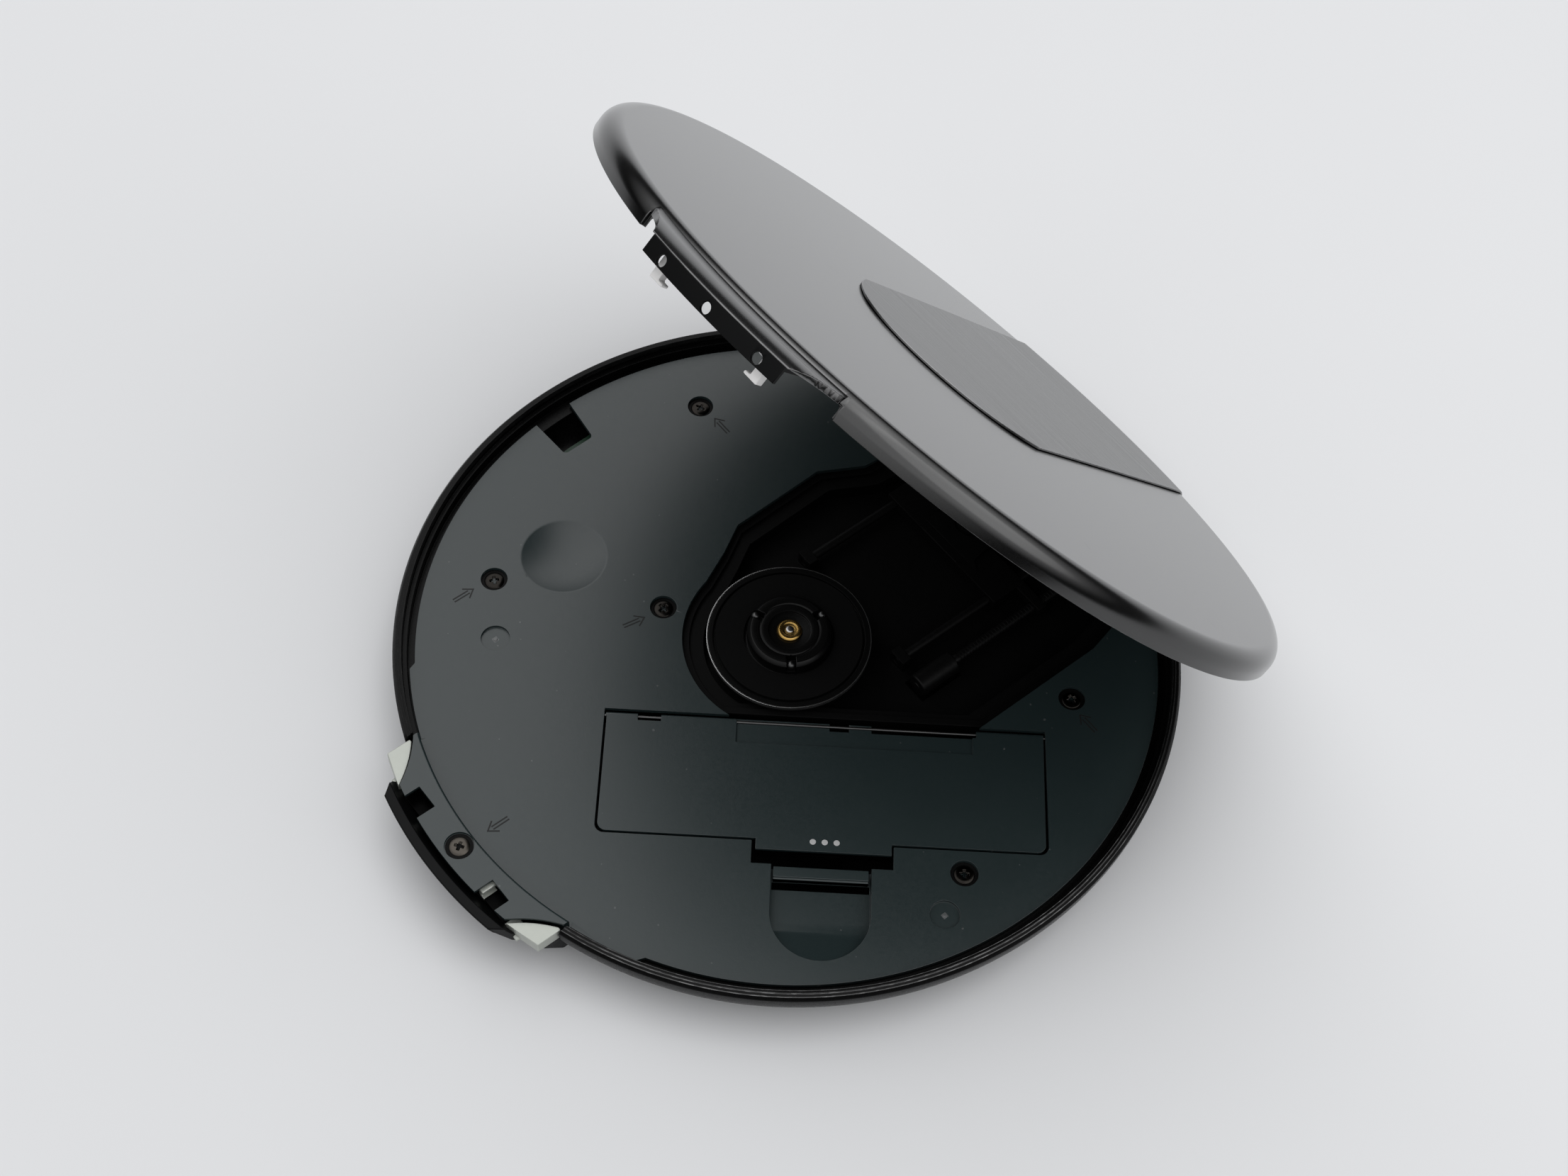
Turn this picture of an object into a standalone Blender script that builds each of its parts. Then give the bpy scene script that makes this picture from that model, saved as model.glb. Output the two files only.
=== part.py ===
"""Portable CD player, lid open. Metres, +Z up, the front block at -Y and the lid's hinge at +Y."""

import bmesh
import bpy
from math import acos, asin, atan2, cos, degrees, hypot, pi, radians, sin, sqrt
from mathutils import Matrix, Vector

# Shared sizes
BODY_RADIUS = 0.0658
RIM_HEIGHT = 0.0110
FLOOR_DEPTH = 0.0027
UNDERSIDE = 0.0
WALL = 0.0014
SKIN = 0.0008
CLEARANCE = 0.0003
RUNNING_GAP = 0.00005
OVERRUN = 0.002
ROUND_STEPS = 60
ROD_STEPS = 16
WELD_DISTANCE = 0.000001
SEAM_DISTANCE = 0.00001
TABLE_STEPS = 36
SMALL_TURN_STEPS = 24
BORE_STEPS = 12
LONG_ARC_STEPS = 14
ARC_STEPS = 12
SHORT_ARC_STEPS = 10
FILLET_STEPS = 8
CORNER_STEPS = 5
BAND_STEPS = 4
CIRCLE_STEPS = 32
PLATE_STEPS = 48
RING_STEPS = 24
BALL_STEPS = 12
QUARTER = 90
HALF_TURN = 180
FULL_TURN = 360
FLOOR_HEIGHT = RIM_HEIGHT - FLOOR_DEPTH
PLATE_UNDERSIDE = FLOOR_HEIGHT - SKIN
INNER_FLOOR = UNDERSIDE + WALL

# Base shell
BOWL_FLAT_RADIUS = BODY_RADIUS - 0.0118
BOWL_TOP = RIM_HEIGHT - 0.0015
BOWL_STEPS = 7
LEDGE_INNER_RADIUS = BODY_RADIUS - 0.0048
LEDGE_OUTER_RADIUS = BODY_RADIUS - 0.0023
LEDGE_THICKNESS = 0.0008
LEDGE_HEIGHT = PLATE_UNDERSIDE - CLEARANCE
RIM_INNER_RADIUS = BODY_RADIUS - 0.00155
RIM_INNER_DEPTH = 0.0018
RIM_LIP_RADIUS = BODY_RADIUS - 0.00105
RIM_STEP_DROP = 0.00025
RIM_CHAMFER = 0.0006
RIM_CHAMFER_OUTSET = 0.00045
INNER_WALL_INSETS = (0.0085, 0.0052, 0.0034, 0.0022)
INNER_WALL_RISES = (0.0, 0.0012, 0.0028, 0.0050)
FOOT_RADIUS = 0.0040
FOOT_CIRCLE = 0.0480
FOOT_SEAT = 0.0004
FOOT_PROUD = 0.0004
FOOT_ANGLES = (45, 135, 225, 315)

# Front block
BLOCK_HALF_WIDTH = 0.0206
BLOCK_NOSE_HALF = 0.0156
BLOCK_REAR = BODY_RADIUS - 0.0073
BLOCK_SHOULDER = BODY_RADIUS - 0.0006
BLOCK_RADIUS = BODY_RADIUS + 0.0042
BLOCK_BOTTOM = 0.0022
BLOCK_GAP_HALF = 0.0212
FOLD_INNER_RADIUS = BODY_RADIUS - 0.0024
COVER_RADIUS = BODY_RADIUS + 0.00335
COVER_SKIN = 0.0006
COVER_HALF_WIDTH = 0.0208
SCOOP_RADIUS = 0.0214
SCOOP_X = 0.0330
SCOOP_Y = BODY_RADIUS + 0.0127
LATCH_HOLE_INNER = 0.0080
LATCH_HOLE_OUTER = 0.0124
LATCH_HOLE_REAR = BODY_RADIUS - 0.0005
BUMPER_INNER_RADIUS = BODY_RADIUS + 0.0045
BUMPER_OUTER_RADIUS = BODY_RADIUS + 0.0062
BUMPER_BOTTOM = 0.0025
BUMPER_HALF_WIDTH = 0.0144
BUMPER_ROOT_HALF = 0.0166
BUMPER_ROOT_Y = BODY_RADIUS + 0.002
BUMPER_NECK_HALF = 0.0154
LEVER_TOP_DROP = 0.0008
LEVER_BOTTOM = FLOOR_HEIGHT - 0.0007
LEVER_REAR_X = 0.0209
LEVER_REAR_Y = BODY_RADIUS - 0.0042
LEVER_FRONT_Y = BODY_RADIUS + 0.0019
LEVER_SIDE_Y = BODY_RADIUS + 0.0001
LEVER_ARC = 0.0211
LEVER_ARM_TOP = FLOOR_HEIGHT - 0.00015
LEVER_ARM_FRONT = BODY_RADIUS + 0.0018
LEVER_ARM_REAR = BODY_RADIUS - 0.0008
CATCH_INNER = 0.0073
CATCH_OUTER = 0.0079
CATCH_NOSE_OUTER = 0.0085
CATCH_NOSE_BOTTOM = RIM_HEIGHT - 0.0019
CATCH_TOP = RIM_HEIGHT - 0.0012
LEVER_STEPS = 8
LEVER_ARM_END = 0.0175

# Rear hinge
HINGE_INSET = 0.00175
HINGE_HEIGHT = 0.00354
HINGE_Y = BODY_RADIUS - HINGE_INSET
HINGE_BLOCK_HALF = 0.0195
HINGE_BLOCK_FRONT = BODY_RADIUS - 0.0046
HINGE_BLOCK_TOP = RIM_HEIGHT - 0.0018
HINGE_BLOCK_ROUND = 0.00235
PIN_HALF_LENGTH = 0.0185
SLOT_FRONT_Y = BODY_RADIUS - 0.006
SLOT_FRONT_LOW = RIM_HEIGHT - 0.0006
ARM_INNER = 0.0123
ARM_OUTER = 0.0151
ARM_SLOT_GAP = 0.0004
ARM_BARREL_RADIUS = 0.0019
ARM_BARREL_ANGLES = (20, -200)
ARM_SLOT_ANGLES = (165, 270)
PIN_RADIUS = 0.0007
SPRING_POCKET_HALF = 0.0042
SPRING_TURN_RADIUS = 0.00125
SPRING_WIRE_RADIUS = 0.00025
SPRING_TURNS = 5
SPRING_POINTS = 9
SPRING_HALF_LENGTH = 0.0030
SPRING_LEG = 0.0024
HINGE_PLATE_CUT_HALF = 0.0200
HINGE_PLATE_CUT_Y = BODY_RADIUS - 0.0062
LID_OPEN = radians(47.74)

# Lid
LID_GAP = 0.0004
LID_BASE = RIM_HEIGHT + LID_GAP
LID_SKIRT = 0.001285
LID_ROLL = 0.00285
LID_WALL = 0.0009
LID_CROWN_RADIUS = 0.0350
LID_CROWN_RISE = 0.000115
LID_CENTRE_RISE = 0.000165
LID_ROLL_STEPS = 6
LID_SHOULDER = BODY_RADIUS - LID_ROLL
LID_FRONT_HALF = 0.0204
LID_FRONT_CUT = 0.0023
VISOR_UNDERSIDE = 0.00236
VISOR_TOP = 0.00315
VISOR_RADIUS = BODY_RADIUS + 0.0041
VISOR_HALF = 0.0142
VISOR_ROOT_HALF = 0.0198
VISOR_ROOT_RADIUS = BODY_RADIUS - 0.002
VISOR_FLUTE_SAG = 0.0006
FLUTE_STEPS = 6
EMBLEM_GAP = 0.0001
EMBLEM_THICKNESS = 0.00035
EMBLEM_HALF = 0.0204
EMBLEM_CORNER_Y = 0.0030
EMBLEM_APEX_Y = 0.0168
EMBLEM_EDGE_RISE = 0.0006
STRIP_HALF = 0.01375
STRIP_OUTER_RADIUS = BODY_RADIUS + 0.0041
STRIP_INNER_RADIUS = BODY_RADIUS + 0.0035
STRIP_BOTTOM = 0.00065
STRIP_TOP = 0.00206
STRIP_SHELF = 0.0007
STRIP_SHELF_RADIUS = BODY_RADIUS - 0.0033
STRIP_HOLE_RADIUS = 0.00085
STRIP_HOLE_X = 0.00997
STRIP_HOLE_RISE = 0.0010
CLAW_INNER = 0.0087
CLAW_OUTER = 0.0113
CLAW_FRONT = BODY_RADIUS + 0.0016
CLAW_REAR = BODY_RADIUS - 0
CLAW_DROP = 0.0027
CLAW_NOSE = 0.0010
CLAW_NOSE_HEIGHT = 0.0005
LINER_RADIUS = BODY_RADIUS - 0.0016
LINER_BOTTOM = 0.0015
LINER_TOP = 0.0023
LINER_FRONT_RADIUS = BODY_RADIUS - 0.0037
LINER_REAR_Y = BODY_RADIUS - 0.0098
LINER_RIB_HEIGHT = 0.0006
LINER_RIB_RADII = (0.0560, 0.0572)
LINER_CLAMP_RADII = (0.0105, 0.0125)
BRACKET_TOP = 0.0029
BRACKET_THICKNESS = 0.0006
BRACKET_FRONT = BODY_RADIUS - 0.0093
BRACKET_REAR = BODY_RADIUS - 0.0058
BRACKET_HALF = 0.0160
BRACKET_ARM_FRONT = BODY_RADIUS - 0.0083
ARM_REAR_POINTS = ((0.0034, 0.0014), (0.0031, -0.0001))
ARM_FRONT_POINTS = ((0.0054, -0.0004), (0.0068, 0.0020))

# Disc well and floor plate
PLATE_RADIUS = BODY_RADIUS - 0.0035
PLATE_FRONT_RADIUS = BODY_RADIUS - 0.0026
PLATE_FRONT_LEFT = 0.0330
PLATE_FRONT_RIGHT = 0.0313
PLATE_STEP_ANGLE = 1.0
OPENING_RADIUS = 0.0179
OPENING_START = 193.5
OPENING_SIDE_V = 0.0156
OPENING_RIGHT_X = 0.0324
OPENING_RIGHT_HIGH = 0.0400
OPENING_REAR_RIGHT = 0.0280
OPENING_REAR_LEFT = 0.0178
OPENING_REAR = 0.0600
OPENING_LEFT = ((-0.0200, 0.0332), (-0.0241, 0.0256), (-0.0234, 0.0073), (-0.0203, 0.0020))
NOTCH_CORNERS = ((-0.0640, -0.0083), (-0.0536, -0.0078), (-0.0538, -0.0017), (-0.0640, -0.0005))
NOTCH_ROUND = 0.0008
SCREW_PLACES = ((-0.0478, 0.0178), (-0.0393, -0.0327), (-0.0176, -0.0131),
                (0.0508, -0.0049), (0.0374, 0.0305))
SCREW_RECESS = 0.00175
SCREW_RECESS_DEPTH = 0.0004
BLOCK_SCREW_Y = BODY_RADIUS + 0.0003
BLOCK_SCREW_RECESS = 0.00165
DIMPLE_PLACES = ((-0.0295, -0.0392), (0.0543, -0.0120))
DIMPLE_RADIUS = 0.0022
DIMPLE_DEPTH = 0.0004
DISH_PLACE = (-0.0361, -0.0205)
DISH_RADIUS = 0.0076
DISH_DEPTH = 0.0012
DISH_BOSS_RADIUS = 0.0088
DISH_BOSS_DEPTH = 0.0014
DISH_STEPS = 6

# Battery bay, along its own axes
BAY_ANGLE = radians(49.5)
DOOR_LEFT = -0.0297
DOOR_RIGHT = 0.0428
DOOR_INNER = 0.01575
DOOR_OUTER = 0.0379
DOOR_ROUND = 0.0015
DOOR_GAP = 0.00025
TAB_LEFT = -0.0040
TAB_RIGHT = 0.0177
TAB_OUTER = 0.0394
TAB_CUT_LEFT = -0.0046
TAB_CUT_RIGHT = 0.0180
TAB_CUT_OUTER = 0.0419
DOOR_BAND_LEFT = -0.0080
DOOR_BAND_RIGHT = 0.0308
DOOR_BAND_OUTER = 0.0203
DOOR_BAND_DEPTH = 0.0002
DOOR_AXIS_V = 0.01635
DOOR_AXIS_HEIGHT = FLOOR_HEIGHT - 0.00055
DOOR_BARREL_RADIUS = 0.00055
DOOR_ROD_RADIUS = 0.00025
DOOR_KNUCKLES = ((-0.0242, -0.0204), (0.0073, 0.0105), (0.0142, 0.0314))
DOOR_DOTS = (0.0051, 0.0070, 0.0089)
DOOR_DOT_V = 0.0377
DOOR_DOT_RADIUS = 0.0005
DOOR_DOT_DEPTH = 0.0002
EAR_LENGTH = 0.0008
EAR_HEIGHT = FLOOR_HEIGHT - 0.0008
EAR_RADIUS = 0.00075
HOOK_LEFT = 0.0030
HOOK_RIGHT = 0.0100
HOOK_INNER = 0.0384
HOOK_OUTER = 0.0392
HOOK_NOSE_OUTER = 0.0394
HOOK_BOTTOM = FLOOR_HEIGHT - 0.0023
HOOK_NOSE_TOP = FLOOR_HEIGHT - 0.0018
LATCH_LEFT = -0.0010
LATCH_RIGHT = 0.0141
LATCH_INNER = 0.0422
LATCH_OUTER = 0.0443
LATCH_BOTTOM = FLOOR_HEIGHT - 0.0016
LATCH_TOP = FLOOR_HEIGHT - 0.0002
LATCH_TONGUE_INNER = 0.0398
LATCH_TONGUE_TOP = FLOOR_HEIGHT - 0.0011
LATCH_GRIP = 0.0003
RECESS_CENTRE = 0.0066
RECESS_HALF = 0.00795
RECESS_INNER = 0.0419
RECESS_STRAIGHT = 0.0500
RECESS_LOW_END = 0.0525
RECESS_OUTER = 0.05795
RECESS_FLOOR = FLOOR_HEIGHT - 0.0019
RECESS_WALL = 0.0007
CELL_LENGTH = 0.0670
CELL_WIDTH = 0.0168
CELL_HEIGHT = 0.0056
CELL_ROUND = 0.0016
CELL_CENTRE_U = 0.00655
CELL_CENTRE_V = 0.0274
CELL_LIFT = 0.00025
CELL_CAP_HALF = 0.0018
CELL_CAP_LENGTH = 0.0008
BAY_WALL = 0.0011
BAY_END_ROOM = 0.0018
BAY_FRAME_BOTTOM = 0.0017
BAY_FRAME_TOP = 0.0062
CONTACT_THICKNESS = 0.0002
CONTACT_HALF = 0.0030
CONTACT_TOP = 0.0066
CONTACT_BULGE = 0.0009

# Mechanism
CHASSIS_MARGIN = 0.0020
CHASSIS_BOTTOM = 0.0029
CHASSIS_FLOOR_TOP = 0.0037
CHASSIS_TOP = PLATE_UNDERSIDE - CLEARANCE
CHASSIS_SIDE_V = 0.0144
CHASSIS_LEDGE = 0.0036
CHASSIS_STEP = 0.0006
CHASSIS_STEP_WIDTH = 0.0012
CHASSIS_REAR = 0.0607
CHASSIS_POST_HALF = 0.0016
CHASSIS_POST_TOP = 0.0064
MOTOR_CAN_RADIUS = 0.0090
MOTOR_CAN_BOTTOM = 0.0017
MOTOR_CAN_TOP = 0.0060
MOTOR_FLANGE_RADIUS = 0.0112
MOTOR_FLANGE_THICKNESS = 0.0005
MOTOR_NECK_RADIUS = 0.0020
MOTOR_NECK_TOP = 0.0066
SHAFT_RADIUS = 0.00075
SHAFT_TOP = FLOOR_HEIGHT + 0.0032
BUSH_RADIUS = 0.0021
BUSH_TOP = FLOOR_HEIGHT + 0.003
BUSH_CHAMFER = 0.0003
TURNTABLE_RADIUS = 0.0139
TURNTABLE_RING_INNER = TURNTABLE_RADIUS - 0.0011
TURNTABLE_BOTTOM = FLOOR_HEIGHT - 0.0005
TURNTABLE_TOP = FLOOR_HEIGHT + 0.0008
TURNTABLE_WEB_TOP = FLOOR_HEIGHT + 0.0002
HUB_RADIUS = 0.0071
HUB_TOP = FLOOR_HEIGHT + 0.0029
HUB_CHAMFER = 0.0006
HUB_RECESS_RADIUS = 0.0036
HUB_RECESS_DEPTH = 0.0004
MAT_INNER = 0.0076
MAT_OUTER = TURNTABLE_RADIUS - 0.0015
MAT_THICKNESS = 0.0004
BALL_RADIUS = 0.00075
BALL_CIRCLE = 0.00645
BALL_HEIGHT = FLOOR_HEIGHT + 0.00205
BALL_ANGLES = (84, 204, 324)
BALL_TRAVEL = 0.0004
BALL_SLOT_HALF = 0.0008
BALL_SLOT_ROOM = 0.0002
ROD_RADIUS = 0.0008
ROD_HEIGHT = 0.0052
ROD_LEFT_X = -0.0120
ROD_RIGHT_X = 0.0130
ROD_FRONT = 0.0132
ROD_REAR = 0.0585
SLED_BOTTOM = 0.0044
SLED_TOP = 0.0068
LENS_Y = 0.0410
SLED_COVER_TOP = 0.0072
SLED_COVER_FRONT = 0.0350
SLED_COVER_LEFT = -0.0053
SLED_COVER_RIGHT = 0.0081
LENS_RADIUS = 0.0019
LENS_TOP = 0.0081
LENS_BOTTOM = 0.0072
SCREW_X = 0.0188
SCREW_RADIUS = 0.0009
FEED_MOTOR_RADIUS = 0.0020
FEED_MOTOR_FRONT = 0.0125
FEED_MOTOR_REAR = 0.0206
NUT_HALF = 0.0018
NUT_GAP = 0.0001
SLED_FRONT = 0.0075
SLED_WING_REAR = 0.0005
SLED_NOSE_REAR = 0.0024
SLED_NOSE_HALF = 0.0046
SLED_EDGE = 0.0017
SLED_COVER_BOTTOM = 0.0071
SLED_COVER_NECK = 0.0058
SLED_COVER_NECK_Y = 0.0391
SLED_COVER_ELBOW = (0.0063, 0.0362)
SLED_COVER_REAR = 0.0022
LENS_HOLE_RADIUS = 0.0030
LENS_HOLDER_RADIUS = 0.0026
LENS_HOLDER_TOP = 0.0079
LENS_HOLDER_FLOOR = 0.0002
LENS_BORE_RADIUS = 0.0022
LENS_SEAT = 0.0001
LENS_EDGE_DROP = 0.0003
LENS_STEPS = 5
SCREW_REAR = 0.0578
NOSE_ROOM_HALF = 0.0056
NOSE_ROOM_REAR = 0.0598
POST_FRONT = 0.0131
POST_REAR = 0.0150
MOTOR_BORE_BOTTOM = 0.0020
SHAFT_BOTTOM = 0.0023
BUSH_BOTTOM = FLOOR_HEIGHT - 0.0004
BALL_SLOT_FLOOR = FLOOR_HEIGHT + 0.0011
BOSS_RADIUS = 0.0016
BOSS_SHOULDER_RADIUS = 0.0026
BOARD_BOSSES = 2

# Circuit board, jacks, buttons and switch
BOARD_BOTTOM = 0.0034
BOARD_TOP = 0.0042
BOARD_RADIUS = 0.0570
BOARD_INNER_X = 0.0290
BOARD_REAR_Y = 0.0300
BOARD_FRONT_Y = 0.0440
CHIP_SIZES = ((0.0100, 0.0100), (0.0070, 0.0070), (0.0060, 0.0040), (0.0045, 0.0045))
CHIP_PLACES = ((-0.0400, 0.0060), (-0.0420, -0.0160), (-0.0360, 0.0200), (-0.0345, -0.0290))
CHIP_TOP = 0.0056
CHIP_SINK = 0.0002
JACK_HEIGHT = 0.0043
JACK_ANGLES = (169, 196)
JACK_BODY_HALF = 0.0030
JACK_BODY_INNER = BODY_RADIUS - 0.0158
JACK_BODY_OUTER = BODY_RADIUS - 0.0072
JACK_BODY_BOTTOM = 0.0022
JACK_BODY_TOP = 0.0069
JACK_COLLAR_RADIUS = 0.00215
JACK_COLLAR_OUTER = BODY_RADIUS - 0.002
JACK_BORE_RADIUS = 0.00178
JACK_BORE_END = BODY_RADIUS - 0.0138
DC_BORE_RADIUS = 0.00165
DC_PIN_RADIUS = 0.0004
DC_PIN_OUTER = BODY_RADIUS - 0.0033
BUTTON_ANGLES = (128, 136, 144, 152)
BUTTON_HALF_ANGLE = radians(2.6)
BUTTON_BOTTOM = 0.0043
BUTTON_TOP = 0.0060
BUTTON_INNER_RADIUS = BODY_RADIUS - 0.0036
BUTTON_PROUD = 0.0004
SWITCH_BOARD_INNER = BODY_RADIUS - 0.0059
SWITCH_BOARD_OUTER = BODY_RADIUS - 0.0052
SWITCH_BOARD_BOTTOM = 0.0029
SWITCH_BOARD_TOP = 0.0061
SWITCH_BOARD_ANGLES = (124, 156)
SWITCH_DOME_OUTER = BODY_RADIUS - 0.0043
SWITCH_DOME_HALF = radians(1.3)
HOLD_ANGLE = 212
HOLD_HALF_ANGLE = radians(2.0)
HOLD_TRAVEL = 0.0020
HOLD_BOTTOM = 0.0045
HOLD_TOP = 0.0061
HOLD_INNER_RADIUS = BODY_RADIUS - 0.0032
HOLD_PROUD = 0.0005
HOLD_RIBS = 4
HOLD_RIB_DEPTH = 0.0003
HOLD_GROOVE_SHARE = 0.08

PART_NAME = "portable_cd_player"


def finish(name, colour, metallic, roughness):
    """A plain material for one kind of surface."""
    made = bpy.data.materials.new(name)
    made.use_nodes = True
    shader = made.node_tree.nodes["Principled BSDF"]
    shader.inputs["Base Color"].default_value = (*colour, 1)
    shader.inputs["Metallic"].default_value = metallic
    shader.inputs["Roughness"].default_value = roughness
    made.diffuse_color = (*colour, 1)
    return made


for old in list(bpy.data.objects):
    bpy.data.objects.remove(old)

parts = bpy.data.collections.new(PART_NAME)
cutters = bpy.data.collections.new("cutters")
for group in (parts, cutters):
    bpy.context.scene.collection.children.link(group)

BLACK = finish("black_plastic", (0.012, 0.012, 0.013), 0, 0.45)
SLATE = finish("slate_plastic", (0.045, 0.05, 0.052), 0, 0.55)
GREY_METAL = finish("grey_painted_metal", (0.22, 0.23, 0.235), 0.6, 0.4)
BRUSHED = finish("brushed_plate", (0.2, 0.21, 0.215), 0.9, 0.35)
SILVER = finish("silver_painted", (0.62, 0.64, 0.61), 0.3, 0.4)
MILKY = finish("milky_plastic", (0.75, 0.75, 0.73), 0, 0.4)
STEEL = finish("steel", (0.6, 0.6, 0.6), 1, 0.25)
BRASS = finish("brass", (0.75, 0.52, 0.22), 1, 0.3)
RUBBER = finish("rubber", (0.02, 0.02, 0.02), 0, 0.85)
BOARD = finish("circuit_board", (0.02, 0.14, 0.07), 0, 0.5)
GLASS = finish("lens_glass", (0.25, 0.3, 0.5), 0, 0.05)


def empty(name, place, turn=(0, 0, 0), under=None):
    """A frame that other pieces hang from."""
    made = bpy.data.objects.new(name, None)
    parts.objects.link(made)
    made.parent = under
    made.location = place
    made.rotation_euler = turn
    return made


def piece(name, mesh, look, under=None, place=(0, 0, 0)):
    """A visible piece, or a cutter when it has no look."""
    made = bpy.data.objects.new(name, mesh)
    made.parent = under
    made.location = place
    if look is None:
        cutters.objects.link(made)
        made.hide_render = True
        made.display_type = "WIRE"
    else:
        parts.objects.link(made)
        mesh.materials.append(look)
    return made


def change(body, operation, mesh):
    """Join, cut or keep a shape with an exact Boolean; the tool shares the body's frame."""
    tool = piece(f"{body.name}_{operation.lower()}_{len(body.modifiers)}", mesh, None,
                 body.parent, body.location)
    step = body.modifiers.new(tool.name, "BOOLEAN")
    step.operation = operation
    step.solver = "EXACT"
    step.object = tool


def join(body, *meshes):
    for mesh in meshes:
        change(body, "UNION", mesh)


def cut(body, *meshes):
    for mesh in meshes:
        change(body, "DIFFERENCE", mesh)


def keep(body, *meshes):
    for mesh in meshes:
        change(body, "INTERSECT", mesh)


def closed_mesh(shape):
    """A bmesh welded, turned outwards and stored."""
    bmesh.ops.remove_doubles(shape, verts=shape.verts, dist=WELD_DISTANCE)
    wide = [face for face in shape.faces if len(face.verts) > 4]
    bmesh.ops.triangulate(shape, faces=wide, ngon_method="EAR_CLIP")
    bmesh.ops.recalc_face_normals(shape, faces=shape.faces)
    mesh = bpy.data.meshes.new("shape")
    shape.to_mesh(mesh)
    shape.free()
    return mesh


def swept(section, places):
    """A closed section (x, z) carried through the places and capped at both ends."""
    shape = bmesh.new()
    rings = []
    for place in places:
        rings.append([shape.verts.new(place @ Vector((x, 0, z))) for x, z in section])
    for near, far in zip(rings, rings[1:]):
        for index in range(len(section)):
            after = (index + 1) % len(section)
            shape.faces.new((near[index], near[after], far[after], far[index]))
    shape.faces.new(rings[0])
    shape.faces.new(list(reversed(rings[-1])))
    return closed_mesh(shape)


def sector(profile, start, end, steps):
    """A profile (radius, height) turned about Z from one angle to another."""
    angles = [start + (end - start) * index / steps for index in range(steps + 1)]
    return swept(profile, [Matrix.Rotation(angle, 4, "Z") for angle in angles])


def turned(profile, steps=ROUND_STEPS):
    """A closed profile (radius, height) screwed a full turn about Z and made into a mesh."""
    line = bpy.data.meshes.new("profile")
    edges = [(index, (index + 1) % len(profile)) for index in range(len(profile))]
    if profile[0][0] == 0 and profile[-1][0] == 0:
        edges.pop()
    line.from_pydata([(radius, 0, height) for radius, height in profile], edges, [])
    maker = bpy.data.objects.new("maker", line)
    bpy.context.scene.collection.objects.link(maker)
    screw = maker.modifiers.new("turn", "SCREW")
    screw.steps = steps
    screw.render_steps = steps
    screw.use_merge_vertices = True
    screw.merge_threshold = SEAM_DISTANCE
    return baked(maker)


def baked(maker):
    """The evaluated mesh of a temporary object, which is then removed."""
    depsgraph = bpy.context.evaluated_depsgraph_get()
    mesh = bpy.data.meshes.new_from_object(maker.evaluated_get(depsgraph))
    bpy.data.objects.remove(maker)
    shape = bmesh.new()
    shape.from_mesh(mesh)
    return closed_mesh(shape)


def plate(outlines, bottom, top):
    """A flat plate: the first outline is its edge and any others are holes."""
    curve = bpy.data.curves.new("outline", "CURVE")
    curve.dimensions = "2D"
    curve.fill_mode = "BOTH"
    curve.extrude = (top - bottom) / 2
    for outline in outlines:
        spline = curve.splines.new("POLY")
        spline.points.add(len(outline) - 1)
        for point, (x, y) in zip(spline.points, outline):
            point.co = (x, y, 0, 1)
        spline.use_cyclic_u = True
    maker = bpy.data.objects.new("maker", curve)
    bpy.context.scene.collection.objects.link(maker)
    mesh = baked(maker)
    mesh.transform(Matrix.Translation((0, 0, (top + bottom) / 2)))
    return mesh


def block(low, high):
    """A box between two opposite corners."""
    return plate([box_outline(low[0], high[0], low[1], high[1])], low[2], high[2])


def rod(radius, start, end, steps=ROD_STEPS):
    """A round bar between two points."""
    start, end = Vector(start), Vector(end)
    section = circle(0, 0, radius, steps)
    mesh = plate([section], 0, (end - start).length)
    turn = Vector((0, 0, 1)).rotation_difference(end - start).to_matrix().to_4x4()
    mesh.transform(Matrix.Translation(start) @ turn)
    return mesh


def ball(centre, radius, steps=ROD_STEPS):
    shape = bmesh.new()
    bmesh.ops.create_uvsphere(shape, u_segments=steps, v_segments=steps // 2, radius=radius,
                              matrix=Matrix.Translation(centre))
    return closed_mesh(shape)


def arc(x, y, radius, start, end, steps):
    """Points along an arc, angles in degrees."""
    angles = [radians(start + (end - start) * index / steps) for index in range(steps + 1)]
    return [(x + radius * cos(angle), y + radius * sin(angle)) for angle in angles]


def circle(x, y, radius, steps=ROD_STEPS):
    return arc(x, y, radius, 0, FULL_TURN, steps)[:-1]


def box_outline(left, right, low, high):
    return [(left, low), (right, low), (right, high), (left, high)]


def rounded(corners, radius, steps=CORNER_STEPS):
    """An outline with every corner rounded."""
    made = []
    count = len(corners)
    for index in range(count):
        corner = Vector(corners[index])
        before = (Vector(corners[index - 1]) - corner).normalized()
        after = (Vector(corners[(index + 1) % count]) - corner).normalized()
        half = acos(max(-1, min(1, before.dot(after)))) / 2
        centre = corner + (before + after).normalized() * (radius / sin(half))
        start = corner + before * (radius / (sin(half) / cos(half))) - centre
        end = corner + after * (radius / (sin(half) / cos(half))) - centre
        for step in range(steps + 1):
            share = step / steps
            spoke = (start * (1 - share) + end * share).normalized() * radius
            made.append(tuple(centre + spoke))
    return made


def at_radius(radius, x):
    """How far out a circle about the centre lies at a given x."""
    return sqrt(radius * radius - x * x)


def bowl_radius(height):
    """The outside of the bowl at a height."""
    rise = (height - UNDERSIDE) / (BOWL_TOP - UNDERSIDE)
    return BOWL_FLAT_RADIUS + (BODY_RADIUS - BOWL_FLAT_RADIUS) * sqrt(1 - (1 - rise) ** 2)


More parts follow.
